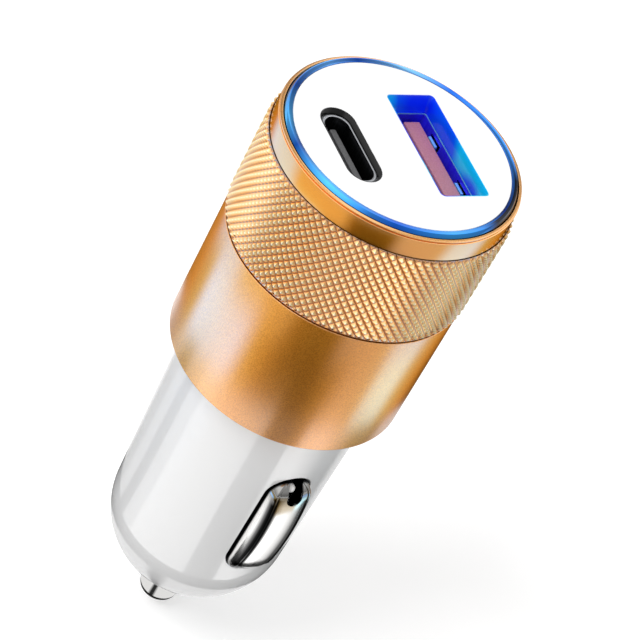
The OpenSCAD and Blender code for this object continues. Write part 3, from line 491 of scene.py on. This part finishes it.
def make_piece(name, points, faces, materials, node, slot=None, body="housing", sharp=35):
    """Piece from points in mm that stands for a node and rides on a body."""
    piece = mesh_object(name, points, faces, materials)
    face_outwards(piece.data)
    piece.data.shade_smooth()
    piece.data.set_sharp_from_angle(angle=math.radians(sharp))
    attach(piece, body)
    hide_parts(node)
    print("%s: %d faces" % (name, len(faces)))
    return piece


# %% [markdown]
# Most pieces are skins over loops of points: a turned piece has a circle at each
# corner of its profile, and a port's wall has its outline at each depth. Corners of a
# turned profile get a small radius, because every real edge has one and it is what
# catches the light.

# %% Skins and turned profiles
def skin(loops, ring=False, caps=True, first=0):
    """Faces over loops of equal length; ring joins the last loop to the first."""
    count = len(loops[0])
    faces = []
    for k in range(len(loops) - (0 if ring else 1)):
        low, high = first + k * count, first + (k + 1) % len(loops) * count
        for i in range(count):
            j = (i + 1) % count
            faces.append((low + i, low + j, high + j, high + i))
    if caps and not ring:
        faces.append(tuple(first + i for i in reversed(range(count))))
        faces.append(tuple(first + (len(loops) - 1) * count + i for i in range(count)))
    return faces


def rounded(corners, steps=5):
    """Profile through (r, z) corners; a third number rounds that corner."""
    path = []
    for i, corner in enumerate(corners):
        here = Vector(corner[:2])
        if len(corner) < 3:
            path.append(tuple(here))
            continue
        before = (Vector(corners[i - 1][:2]) - here).normalized()
        after = (Vector(corners[(i + 1) % len(corners)][:2]) - here).normalized()
        half = before.angle(after) / 2
        centre = here + (before + after).normalized() * corner[2] / math.sin(half)
        start = here + before * corner[2] / math.tan(half) - centre
        end = here + after * corner[2] / math.tan(half) - centre
        sweep = start.angle(end)
        for k in range(steps + 1):
            t = k / steps
            path.append(tuple(centre + (start * math.sin((1 - t) * sweep)
                                        + end * math.sin(t * sweep)) / math.sin(sweep)))
    return path


def circles(profile, sides):
    """A circle of points for each (r, z) of a profile."""
    turn = [(math.cos(2 * math.pi * i / sides), math.sin(2 * math.pi * i / sides))
            for i in range(sides)]
    return [[(r * c, r * s, z) for c, s in turn] for r, z in profile]


print("a corner of 1 mm at 5 steps:", len(rounded([(0, 0), (9, 0, 1), (9, 9)])) - 2, "points")


# %% Outlines of ports and windows
def slot_outline(length, width, x=0, steps=24):
    """Round-ended slot along Y round x, as (x, y) points counter-clockwise."""
    r, run = width / 2, (length - width) / 2
    return [(x + end * r * math.cos(math.pi * k / steps),
             end * (run + r * math.sin(math.pi * k / steps)))
            for end in (1, -1) for k in range(steps + 1)]


def box_outline(width, length, r, x=0, steps=8):
    """Rectangle with round corners round x, as (x, y) points counter-clockwise."""
    points = []
    for sx, sy, begin in ((1, 1, 0), (-1, 1, 90), (-1, -1, 180), (1, -1, 270)):
        for k in range(steps + 1):
            a = math.radians(begin + 90 * k / steps)
            points.append((x + sx * (width / 2 - r) + r * math.cos(a),
                           sy * (length / 2 - r) + r * math.sin(a)))
    return points


def raised(outline, z):
    """Lift a flat outline to a height."""
    return [(x, y, z) for x, y in outline]


def flattened(loops):
    """All points of the loops in one list."""
    return [point for loop in loops for point in loop]


def skinned_piece(name, loops, materials, node, ring=False, caps=True, **more):
    """Piece that is a skin over loops of points."""
    return make_piece(name, flattened(loops), skin(loops, ring, caps), materials, node, **more)


def turned_piece(name, profile, materials, node, sides=256, **more):
    """Turned piece from a closed profile of (r, z) corners."""
    return skinned_piece(name, circles(profile, sides), materials, node, ring=True, **more)


print("points on a slot's outline:", len(slot_outline(2, 1)))

# %% [markdown]
# ## Sleeve
# The sleeve is turned from bar in one chucking: a smooth lower part, a narrow groove,
# the knurled band, a bright neck, a fine groove and a lip. The knurl is pressed by two
# wheels, whose opposite screw lines leave rows of 90 pyramids. Each pyramid's height is
# the smaller of two triangle waves, one for each wheel, and its point is rubbed a
# little flat. The mesh has its own points on each groove and tip, so the knurl is real
# geometry and catches the light as the metal does.

# %% Sleeve profile
SLEEVE_R, NECK_R, BORE_R, GROOVE_R = 12.70, 12.49, 12.0, 12.46
KNURL_LOW, KNURL_HIGH, LIP_Z = 16.2, 27.5, 29.85
outside = rounded([
    (10.65, 0.0), (SLEEVE_R, 0.0, 0.18), (SLEEVE_R, 16.05, 0.06), (GROOVE_R, 16.07),
    (GROOVE_R, KNURL_LOW)])
above = rounded([
    (GROOVE_R, KNURL_HIGH + 0.02), (NECK_R + 0.05, KNURL_HIGH + 0.03, 0.04),
    (NECK_R - 0.03, 29.56, 0.03), (12.3, 29.6), (12.3, 29.66), (12.385, 29.69, 0.02),
    (12.37, LIP_Z - 0.04, 0.03), (12.08, LIP_Z, 0.03), (BORE_R, LIP_Z - 0.12, 0.03),
    (BORE_R, 1.2, 0.1), (10.65, 1.2)])
print("sleeve: %.1f mm across, %.2f mm long" % (2 * KNURL_TIP, LIP_Z))


# %% Knurl
COLUMNS, ROWS, FINE, RUBBED = 90, 11, 8, 0.92


def knurl_height(column, row):
    """Height from groove to point at a place counted in pyramids, from 0 to 1."""
    def wave(t):
        return 1 - 2 * abs((t + 0.5) % 1 - 0.5)
    return min(RUBBED, wave(column + row), wave(column - row)) / RUBBED


def knurled_band(run_out=0.35):
    """Loops of the knurled band, which runs out over a third of a row at each end."""
    loops = []
    for j in range(ROWS * FINE + 1):
        row = j / FINE
        fade = min(1, row / run_out, (ROWS - row) / run_out)
        z = KNURL_LOW + (KNURL_HIGH - KNURL_LOW) * j / (ROWS * FINE)
        loop = []
        for i in range(COLUMNS * FINE):
            r = KNURL_TIP - (KNURL_TIP - KNURL_FLOOR) * (1 - fade * knurl_height(i / FINE, row))
            a = 2 * math.pi * i / (COLUMNS * FINE)
            loop.append((r * math.cos(a), r * math.sin(a), z))
        loops.append(loop)
    return loops


def knurl_faces(loops):
    """Triangles over the band, split along the grooves."""
    count, faces = len(loops[0]), []
    for j in range(len(loops) - 1):
        for i in range(count):
            k = (i + 1) % count
            a, b, c, d = j * count + i, j * count + k, (j + 1) * count + k, (j + 1) * count + i
            if (i + j) % FINE in (FINE // 2 - 1, FINE // 2):
                faces += [(a, b, d), (b, c, d)]
            else:
                faces += [(a, b, c), (a, c, d)]
    return faces


print("knurl: rows of %d pyramids on %.1f mm" % (COLUMNS, KNURL_HIGH - KNURL_LOW))

# %% Sleeve
band = knurled_band()
sides = len(band[0])
shell = circles(above + outside, sides)
points = flattened(band) + flattened(shell)
cut_faces = knurl_faces(band)
faces = cut_faces + skin(shell, caps=False, first=len(band) * sides)
sleeve = make_piece("sleeve_knurled", points, faces,
                    [gold_blasted, gold_knurled, gold_turned], "sleeve", sharp=28)
for number, face in enumerate(sleeve.data.polygons):
    if number < len(cut_faces):
        face.material_index = 1
    elif face.center.z > KNURL_HIGH * MM:
        face.material_index = 2

# %% [markdown]
# ## Bezel ring and face
# The ring is a turned hoop with two polished facets, pressed into the sleeve round the
# face. The face is a moulded disc with two openings. A filled 2D curve makes such a
# plate with a rounded edge in one step, and it is turned into a mesh afterwards.

# %% Bezel ring
turned_piece("bezel_ring_polished", rounded([
    (11.24, 28.55), (11.945, 28.55), (11.945, 29.83, 0.03), (11.74, 30.195, 0.02),
    (11.66, 30.19, 0.03), (11.24, 30.125, 0.03)]), [blue_polished], "bezel_ring", sharp=18)


# %% Face plate
def plate(name, outlines, low, high, edge, materials, node):
    """Flat plate between two heights; the first outline is its rim, the rest holes."""
    curve = bpy.data.curves.new(name, "CURVE")
    curve.dimensions, curve.fill_mode = "2D", "BOTH"
    curve.extrude = ((high - low) / 2 - edge) * MM
    curve.bevel_depth, curve.bevel_resolution, curve.offset = edge * MM, 2, -edge * MM
    for outline in outlines:
        spline = curve.splines.new("POLY")
        spline.points.add(len(outline) - 1)
        spline.use_cyclic_u = True
        for point, (x, y) in zip(spline.points, outline):
            point.co = (x * MM, y * MM, 0, 1)
    drawn = bpy.data.objects.new(name + "_curve", curve)
    bpy.context.scene.collection.objects.link(drawn)
    bpy.context.view_layer.update()
    mesh = bpy.data.meshes.new_from_object(drawn.evaluated_get(
        bpy.context.evaluated_depsgraph_get()))
    points = [(v.co.x / MM, v.co.y / MM, v.co.z / MM + (low + high) / 2)
              for v in mesh.vertices]
    faces = [tuple(face.vertices) for face in mesh.polygons]
    bpy.data.objects.remove(drawn)
    make_piece(name, points, faces, materials, node, sharp=40)


C_X, FACE_Z = -5.85, 30.1
round_rim = [(point[0], point[1]) for point in circles([(11.19, 0)], 256)[0]]
plate("face_gloss", [round_rim, box_outline(5.5, 13.6, 0.5, A_X),
                     slot_outline(9.84, 3.76, C_X)],
      28.55, FACE_Z, 0.06, [white_face], "face_plate")

# %% [markdown]
# ## USB-A port
# The lead-in narrows from the face to the mouth of a folded steel shell. In the shell
# stands a plastic tongue with four sprung contacts, and spring fingers in the shell's
# walls press on a plug. The lead-in is a skin over outlines that shrink with depth.

# %% USB-A lead-in
lead_in = [raised(box_outline(*box, A_X), z) for *box, z in (
    (5.47, 13.57, 0.48, 28.2), (5.47, 13.57, 0.48, FACE_Z - 0.05),
    (5.43, 13.53, 0.47, FACE_Z - 0.02), (5.38, 13.48, 0.46, FACE_Z - 0.02),
    (5.32, 13.40, 0.44, FACE_Z - 0.08), (5.2, 12.86, 0.38, 28.75),
    (5.14, 12.56, 0.3, 28.22), (5.12, 12.5, 0.26, 28.15))]
skinned_piece("usb_a_lead_in", lead_in, [blue_film], "usb_a_surround", ring=True)

# %% USB-A tongue
plate("usb_a_tongue_moulded", [box_outline(1.84, 11.1, 0.15, 4.65)], 16.9, 27.7, 0.12,
      [mauve_pbt], "usb_a_tongue")
block = [raised(box_outline(5.0, 11.9, 0.2, A_X), z) for z in (14.35, 16.95)]
skinned_piece("usb_a_block_moulded", block, [mauve_pbt], "usb_a_tongue")

# %% [markdown]
# ## USB-C port
# A glossy black bevel leads into an oval shell, deep-drawn from steel. Its rim shows
# as a thin bright line, and the thin tongue stands in the middle.

# %% USB-C bevel
bevel = [raised(slot_outline(length, width, C_X), z) for length, width, z in (
    (9.8, 3.72, 28.15), (9.8, 3.72, FACE_Z - 0.05), (9.76, 3.68, FACE_Z - 0.02),
    (9.7, 3.62, FACE_Z - 0.02), (9.56, 3.48, FACE_Z - 0.08), (9.04, 2.96, FACE_Z - 0.36),
    (8.96, 2.88, FACE_Z - 0.46), (8.96, 2.88, FACE_Z - 0.5), (9.1, 3.32, FACE_Z - 0.5),
    (9.1, 3.32, 28.15))]
skinned_piece("usb_c_bevel", bevel, [black_gloss], "usb_c_surround", ring=True)

# %% USB-C shell and tongue
oval = [raised(slot_outline(length, width, C_X), z) for length, width, z in (
    (9.04, 3.26, 22.35), (9.04, 3.26, 29.52), (8.98, 3.2, 29.58), (8.86, 3.08, 29.6),
    (8.5, 2.72, 29.6), (8.4, 2.62, 29.57), (8.34, 2.56, 29.5), (8.34, 2.56, 22.35))]
skinned_piece("usb_c_shell_drawn", oval, [receptacle_steel_painted_dark], "usb_c_shell", ring=True)
plate("usb_c_tongue_moulded", [box_outline(0.7, 6.69, 0.2, C_X)], 24.4, 28.75, 0.1,
      [grey_lcp], "usb_c_tongue")
block = [raised(slot_outline(8.2, 2.42, C_X), z) for z in (22.42, 24.5)]
skinned_piece("usb_c_block_moulded", block, [grey_lcp], "usb_c_tongue")

# %% [markdown]
# ## Barrel
# The plug is one moulding: a tube in the sleeve, a collar, a slight draft and a domed
# nose. Windows for the side contacts are cut through its wall. The cut is a boolean,
# and a soft lip round it, laid on the barrel's own surface, gives the moulded radius.

# %% Barrel body
COLLAR_R, NOSE_R, DOME_Z, NOSE_Z = 10.4, 9.9, -25.1, -35.0
WINDOW_L, WINDOW_W, WINDOW_Z, LIP = 15.7, 5.2, -15.25, 0.14
SIDES = ((-1, "front"), (1, "back"))


def barrel_radius(z):
    """Outer radius of the collar and of the drafted plug at a height."""
    if z > -6.4:
        return COLLAR_R
    return COLLAR_R - (COLLAR_R - NOSE_R) * (-6.4 - z) / (-6.4 - DOME_Z)


dome = [(NOSE_R * math.cos(math.radians(a)), DOME_Z - NOSE_R * math.sin(math.radians(a)))
        for a in range(0, 75, 3)]
hole = rounded([(2.6, NOSE_Z + 0.36), (2.42, NOSE_Z + 0.4, 0.1), (2.42, -33.0)])
inner = [(8.7 * math.cos(math.radians(a)), DOME_Z - 8.7 * math.sin(math.radians(a)))
         for a in range(65, -1, -5)]
profile = (rounded([(11.94, 28.5), (11.94, 1.25, 0.1), (10.6, 1.2), (10.6, 0.05),
                    (COLLAR_R, 0.0)])
           + [(barrel_radius(z), z) for z in (-3, -6.2, -6.6, -12, -18)] + dome + hole[1:]
           + inner + [(9.2, -6.4), (9.2, 2.4), (10.7, 2.4), (10.7, 28.5)])
barrel = turned_piece("barrel_moulded", profile, [white_barrel], "barrel", sides=288)


# %% Windows
def slot_prism(side, length, width, z, near, far):
    """Round-ended prism that a boolean cuts out of one side of the plug."""
    outline = slot_outline(length, width, 0, 32)
    loops = [[(x, side * y, z + up) for x, up in outline] for y in (near, far)]
    cutter = mesh_object("slot", flattened(loops), skin(loops))
    face_outwards(cutter.data)
    return cutter


def cut_away(piece, cutter):
    """Cut one object out of another and delete the cutter."""
    cut = piece.modifiers.new("cut", "BOOLEAN")
    cut.object, cut.operation, cut.solver = cutter, "DIFFERENCE", "MANIFOLD"
    bpy.context.view_layer.update()
    mesh = bpy.data.meshes.new_from_object(piece.evaluated_get(
        bpy.context.evaluated_depsgraph_get()))
    piece.modifiers.clear()
    old, piece.data = piece.data, mesh
    bpy.data.meshes.remove(old)
    bpy.data.objects.remove(cutter)
    piece.data.shade_smooth()
    piece.data.set_sharp_from_angle(angle=math.radians(35))


for side, name in SIDES:
    cut_away(barrel, slot_prism(side, WINDOW_L + 2 * LIP, WINDOW_W + 2 * LIP, WINDOW_Z, 5, 12))
    print("barrel with its %s window: %d faces" % (name, len(barrel.data.polygons)))


# %% Window lips
def window_lip(side, name):
    """Soft edge of a window: from the barrel's surface round into its wall."""
    turns = [math.pi / 2 * k / 5 for k in range(6)]
    edge = [(LIP * (1 - math.sin(a)), LIP * (1 - math.cos(a))) for a in turns]
    loops = []
    for grow, sink in edge + [(0, 1.15), (LIP + 0.02, 1.15)]:
        outline = slot_outline(WINDOW_L + 2 * grow, WINDOW_W + 2 * grow, 0, 32)
        loops.append([(x, side * (math.sqrt(barrel_radius(WINDOW_Z + z) ** 2 - x * x) - sink),
                       WINDOW_Z + z) for x, z in outline])
    skinned_piece("window_lip_" + name, loops, [white_barrel], "barrel", caps=False)


for side, name in SIDES:
    window_lip(side, name)

# %% [markdown]
# ## Centre tip
# The tip is turned brass, nickel plated: a domed pin with a flange inside the nose and
# a stem for its spring. It rides on its own body, which slides inwards.

# %% Tip
tip_dome = [(2.3 * math.sin(math.radians(a)), -38.6 - 2.3 * math.cos(math.radians(a)))
            for a in range(4, 91, 4)]
turned_piece("tip_turned", [(0.02, -40.9)] + tip_dome + rounded([
    (2.3, -32.95), (3.2, -32.95, 0.1), (3.2, -31.85, 0.1), (1.4, -31.85), (1.4, -29.65, 0.2),
    (0.02, -29.65)]), [nickel], "tip_contact", 96, slot="plated_contacts", body="tip")

# %% [markdown]
# ## Springs
# The tip's spring is round wire wound cold, with flat end turns. Each side contact
# has a bow spring, a strip bent over a former. They can't follow the joints as rigid
# bodies, so each stays on the housing.


# %% Coil spring
def coil(low, high, radius, wire, turns, per_turn=32, sides=12):
    """Loops round a helix whose end turns lie flat."""
    steps, f, loops = int(turns * per_turn), 1 / turns, []
    for i in range(steps + 1):
        t, a = i / steps, 2 * math.pi * turns * i / steps
        rise = (t * t / (2 * f) if t < f else 1 - f - (1 - t) ** 2 / (2 * f) if t > 1 - f
                else t - f / 2) / (1 - f)
        z = low + wire / 2 + (high - low - wire) * rise
        loops.append([((radius + wire / 2 * math.cos(b)) * math.cos(a),
                       (radius + wire / 2 * math.cos(b)) * math.sin(a),
                       z + wire / 2 * math.sin(b))
                      for b in (2 * math.pi * k / sides for k in range(sides))])
    return loops


spring = skinned_piece("tip_spring_wound", coil(-31.84, -25.51, 2.65, 0.5, 5.5),
                       [spring_steel], "tip_spring", slot="spring_wire")
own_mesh(spring)


# %% Bow springs
def bow_spring(side, name):
    """Strip that bows from the rail to the roof of a side contact."""
    low, high, foot, crown, thick, half = -21.4, -10.4, 7.42, 11.58, 0.25, 1.3
    loops = []
    for i in range(33):
        t = i / 32
        z = low + (high - low) * t
        y = foot + (crown - foot - thick) * math.sin(math.pi * t) ** 0.8
        w = half * (1 - 0.12 * math.sin(math.pi * t))
        loops.append([(-w, side * y, z), (w, side * y, z), (w, side * (y + thick), z),
                      (-w, side * (y + thick), z)])
    piece = skinned_piece(name + "_bow_spring", loops, [spring_steel], name + "_leaf",
                          slot="spring_wire")
    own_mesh(piece)


for side, name in SIDES:
    bow_spring(side, name)

# %% [markdown]
# ## Side contacts
# A side contact is drawn from sheet in a press: a crowned face between two flanks, with
# a soft crease where they meet, and a notch round a locating peg. A flat sheet with a
# thickness modifier would fold over itself in the tight ends, so the cap is a closed
# skin over loops along the plug: each loop runs over the outside and back along the
# inside, 0.3 mm further in, and a boolean cuts the notch.

# %% Side contact form
CAP_TOP, CAP_LOW, CAP_HALF, CROWN_Y, SHEET = -7.75, -22.9, 2.35, 12.05, 0.3


def cap_station(z):
    """Half width and crown height of the cap at a height."""
    end = min(CAP_TOP - z, z - CAP_LOW)
    half = CAP_HALF * math.sqrt(max(0.0, 1 - max(0.0, 1 - end / 2.0) ** 2)) ** 0.9
    crown = CROWN_Y - (z - CROWN_Z) ** 2 / CROWN_SAG
    shoulder = 1.7 if z > CROWN_Z else 2.6
    t = max(0.0, 1 - end / shoulder)
    crown -= (1.25 if z > CROWN_Z else 1.75) * (1 - math.sqrt(max(0.0, 1 - t * t)))
    return half, crown


def cap_arch(z, inset, base=8.9):
    """Half of a cross-section, from the foot of a flank to the top of the crown."""
    half, crown = cap_station(z)
    half, crown = max(0.02, half - inset), max(base + 0.02, crown - inset)
    crease_x, crease_y = half * 0.78, max(base + 0.01, crown - 0.3)
    low = min(10.1 - inset, crease_y)
    arch = [(half, base), (half, (base + low) / 2), (half, low)]
    for k in range(1, 9):
        t = k / 9
        arch.append((crease_x + (half - crease_x) * math.cos(math.pi / 2 * t) ** 0.8,
                     low + (crease_y - low) * math.sin(math.pi / 2 * t)))
    dent = 0.05 if inset == 0 else 0.0
    arch += [(crease_x, crease_y), (crease_x - 0.04 * half, crease_y - dent),
             (crease_x - 0.08 * half, crease_y + dent / 2)]
    side_x, side_y = arch[-1]
    for k in range(1, 13):
        x = side_x * math.cos(math.pi / 2 * k / 12)
        arch.append((x, crown - (crown - side_y) * (x / side_x) ** 2.4))
    return arch


print("cap: %.2f mm long, %.1f mm wide" % (CAP_TOP - CAP_LOW, 2 * CAP_HALF))


# %% Side contacts
def side_contact(side, name):
    """Formed cap on one side of the barrel, with its notch."""
    loops = []
    for i in range(73):
        z = CAP_LOW + 0.01 + (CAP_TOP - CAP_LOW - 0.02) * (1 - math.cos(math.pi * i / 72)) / 2
        outer, inner = cap_arch(z, 0), cap_arch(z, SHEET)
        loop = (outer + [(-x, y) for x, y in reversed(outer[:-1])]
                + [(-x, y) for x, y in inner] + list(reversed(inner[:-1])))
        loops.append([(x, side * y, z) for x, y in loop])
    piece = skinned_piece(name + "_contact_formed", loops, [nickel_formed], name + "_contact",
                          slot="plated_contacts", body=name + "_side_contact", sharp=50)
    cut_away(piece, slot_prism(side, 6.0, 1.75, -7.2, 8.0, 13.0))


for side, name in SIDES:
    side_contact(side, name)


# %% Stop lips
def stop_lip(side, name):
    """Flange round the cap's foot that holds it behind the barrel's wall."""
    loops = []
    for grow, r in ((-0.3, 9.0), (1.2, 9.0), (1.2, 8.55), (-0.3, 8.55)):
        outline = slot_outline(15.15 + 2 * grow, 4.7 + 2 * grow, 0, 24)
        loops.append([(x, side * math.sqrt(r * r - x * x), -15.33 + z) for x, z in outline])
    skinned_piece(name + "_contact_lip", loops, [nickel_formed], name + "_contact", ring=True,
                  slot="plated_contacts", body=name + "_side_contact")


for side, name in SIDES:
    stop_lip(side, name)

# %% [markdown]
# ## Finish on the pieces that keep their CAD form
# Pieces whose CAD shape is already right, such as the board and what stands on it,
# only get a material.

# %% Materials on CAD nodes
KEPT = {
    "usb_a_shell": blued_steel, "usb_a_contacts": gold_plate, "usb_c_contacts": gold_plate,
    "usb_c_base": black_nylon, "centre_terminal": brass_stamped,
    "contact_carrier": carrier_nylon, "main_board": board_mask, "choke": ferrite,
    "input_capacitor": can_sleeve, "output_capacitor": can_sleeve,
    "controller_chip": black_resin, "port_chip": black_resin,
    "rectifier_diode": black_resin, "fuse": fuse_ceramic, "chip_capacitors": ceramic,
    "chip_resistors": black_resin}
for name, material in KEPT.items():
    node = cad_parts[name]
    node.data.materials.clear()
    node.data.materials.append(material)
print("CAD nodes with a new finish:", len(KEPT))

# %% [markdown]
# ## Floor, card and light
# The floor is pale and plain. Metal and gloss show what lies round them, so the studio
# lays a printed card round the plug, as a photographer does, with white, dark and warm
# fields. A high place on the plug mirrors the card far out and a low place near the
# axis, so each height gets its own ring of fields. Only reflections see the card.

# %% Floor
FLOOR_Z, FLOOR_HALF, OWN_GLOW = -41.0, 3000, 0.22
paper, tree, place = new_material("paper_backdrop")
path = add_node(tree, "LightPath")
seen = add_node(tree, "Math", {0: path.outputs["Is Camera Ray"],
                               1: path.outputs["Is Glossy Ray"]}, operation="MAXIMUM")
seen = add_node(tree, "Math", {0: seen, 1: path.outputs["Is Transmission Ray"]},
                operation="MAXIMUM")
share = add_node(tree, "Math", {0: seen, 1: OWN_GLOW}, operation="MULTIPLY")
glow = add_node(tree, "Emission", {"Color": "#FFFFFF", "Strength": share})
sheet = add_node(tree, "BsdfDiffuse", {"Color": "#F2F2F2"})
surface = add_node(tree, "AddShader", {0: sheet, 1: glow})
add_node(tree, "OutputMaterial", {"Surface": surface})
corners = [(x * FLOOR_HALF, y * FLOOR_HALF, FLOOR_Z)
           for x, y in ((-1, -1), (1, -1), (1, 1), (-1, 1))]
floor = mesh_object("floor", corners, [(0, 1, 2, 3)], [paper])

# %% [markdown]
# Each ring of the card starts at a distance from the axis and blends into the one
# inside it over a soft edge. Its fields are given by their angle from the camera's
# direction, in degrees, as a grey level or a hex colour. Gold metal turns a white
# field yellow, so the fields for its highlights are a little blue.

# %% Fields of the reflection card
WHITE, LINEN, PALE = "#9ACAFF", "#A2C4CC", "#8BA8CC"
PEACH, AMBER, SAND, BROWN = "#928050", "#7B6C39", "#82796A", "#42320F"
RUST, UMBER, DARK, BLACK = "#7A4E0C", "#5C3E0C", "#3E3008", "#080400"
TIP_RINGS = [
    (0.0, 0.1, 1.0, [(-180, 1.0), (180, 1.0)]),
    (1.85, 0.1, 1.0, [(-180, 0.01), (180, 0.01)]),
    (2.9, 0.1, 1.0, [(-24, 0.9), (-14, 0.03), (-2, 0.03), (8, 0.9)])]
BARREL_RINGS = [
    (14, 0.2, 1.0, [(-180, 0.04), (180, 0.04)]),
    (22, 0.2, 1.8, [
        (-180, 0.9), (-160, 0.85), (-138, 0.5), (-128, 0.3), (-110, 0.26), (-106, 0.4),
        (-92, 0.4), (-88, 0.1), (-76, 0.1), (-73, 0.5), (-58, 0.55), (-54, 0.85), (14, 0.75),
        (17, 0.2), (46, 0.2), (49, 0.9), (66, 0.9), (84, 0.4), (96, 0.06), (118, 0.04),
        (130, 0.4), (160, 0.5)])]
SLEEVE_RINGS = [
    (53, 1.5, 3.4, [
        (-180, BLACK), (-150, UMBER), (-128, RUST), (-104, AMBER), (-92, WHITE),
        (-42, WHITE), (-28, AMBER), (-14, BROWN), (-6, BLACK), (26, BLACK), (42, BROWN),
        (58, SAND), (76, SAND), (84, LINEN), (102, LINEN), (114, AMBER), (130, RUST),
        (146, BLACK)]),
    (84, 8, 3.4, [
        (-180, BLACK), (-150, UMBER), (-128, RUST), (-112, PALE), (-76, PALE), (-62, PEACH),
        (-14, PEACH), (-4, BROWN), (4, DARK), (28, DARK), (38, SAND), (72, SAND), (84, PALE),
        (104, PALE), (118, AMBER), (138, RUST), (152, BLACK)]),
    (190, 60, 1.0, [(-180, 0.7), (180, 0.7)])]
CARD_RINGS = TIP_RINGS + BARREL_RINGS + SLEEVE_RINGS
print("rings on the card:", len(CARD_RINGS))

# %% Reflection card
CARD_R, CARD_LIFT = 300, 0.05
to_camera = math.atan2(camera.location.y, camera.location.x)


def round_the_camera(fields):
    """Stops of a colour ramp from fields at angles in degrees."""
    return [((angle + 180) / 360, shade) for angle, shade in fields]


printed, tree, place = new_material("reflection_card_printed")
around = add_node(tree, "TexGradient", {"Vector": place}, gradient_type="RADIAL").outputs["Fac"]
reach = axis_distance(tree, place)
ink = place
for start, soft, strength, fields in CARD_RINGS:
    shade = add_node(tree, "ValToRGB", {"Fac": around}, stops=round_the_camera(fields))
    shade = add_node(tree, "VectorMath", {0: shade, "Scale": strength}, operation="SCALE")
    edge = add_node(tree, "MapRange", {"Value": reach, "From Min": (start - soft) * MM,
                                       "From Max": (start + soft) * MM})
    ink = add_node(tree, "Mix", {0: edge, 6: ink, 7: shade}, data_type="RGBA")
surface = add_node(tree, "Emission", {"Color": ink, "Strength": 1.0})
add_node(tree, "OutputMaterial", {"Surface": surface})
loops = circles([(0.01, FLOOR_Z + CARD_LIFT), (CARD_R, FLOOR_Z + CARD_LIFT)], 96)
card = mesh_object("reflection_card", flattened(loops), skin(loops, caps=False), [printed])
card.rotation_euler.z = to_camera
card.visible_camera = card.visible_diffuse = card.visible_shadow = False
print("card: %d mm across" % (2 * CARD_R))

# %% [markdown]
# One wide lamp stands high on the left and throws the soft shadow. The world is the
# rest of the studio: plain white to the camera, plain grey as light on the plug, and
# softboxes round the camera's direction in reflections.

# %% Lamp
KEY_TURN, KEY_HEIGHT, KEY_SPREAD, KEY_STRENGTH = -49, 50, 28, 1.3
lamp = bpy.data.lights.new("key", "SUN")
lamp.angle, lamp.energy = math.radians(KEY_SPREAD), KEY_STRENGTH
key = bpy.data.objects.new("key", lamp)
bpy.context.scene.collection.objects.link(key)
key.rotation_euler = (0, math.radians(90 - KEY_HEIGHT), to_camera + math.radians(KEY_TURN))
key.visible_glossy = False
print("key light: %d degrees from the camera" % KEY_TURN)

# %% World
SOFTBOXES = [
    (-180, 0.6), (-172, 0.67), (-168, 0.16), (-155, 0.13), (-150, 0.55), (-120, 0.6),
    (-100, 0.75), (-20, 0.8), (5, 0.3), (80, 0.35), (105, 0.55), (160, 0.67), (164, 0.2),
    (172, 0.2), (175, 0.6)]
BY_HEIGHT = [(0.0, 0.4), (0.2, 0.6), (0.5, 1.0), (1.0, 1.0)]
BOX_STRENGTH = 2.4
world = bpy.data.worlds.new("studio")
bpy.context.scene.world = world
world.use_nodes = True
tree = world.node_tree
tree.nodes.clear()
heading = add_node(tree, "Mapping", {"Vector": add_node(tree, "TexCoord"),
                                     "Rotation": (0, 0, -to_camera)})
around = add_node(tree, "TexGradient", {"Vector": heading}, gradient_type="RADIAL").outputs["Fac"]
boxes = add_node(tree, "ValToRGB", {"Fac": around}, stops=round_the_camera(SOFTBOXES))
rise = add_node(tree, "SeparateXYZ", {"Vector": heading})
overhead = add_node(tree, "ValToRGB", {"Fac": rise.outputs["Z"]}, stops=BY_HEIGHT)
boxes = add_node(tree, "Mix", {0: 1.0, 6: boxes, 7: overhead}, data_type="RGBA",
                 blend_type="MULTIPLY")
boxes = add_node(tree, "VectorMath", {0: boxes, "Scale": BOX_STRENGTH}, operation="SCALE")
path = add_node(tree, "LightPath")
light = add_node(tree, "Mix", {0: path.outputs["Is Glossy Ray"], 6: [0.8, 0.8, 0.8, 1],
                               7: boxes}, data_type="RGBA")
shown = add_node(tree, "Mix", {0: path.outputs["Is Camera Ray"], 6: light, 7: "#FFFFFF"},
                 data_type="RGBA")
sky = add_node(tree, "Background", {"Color": shown, "Strength": 1.0})
add_node(tree, "OutputWorld", {"Surface": sky})
print("stops round the horizon:", len(SOFTBOXES))
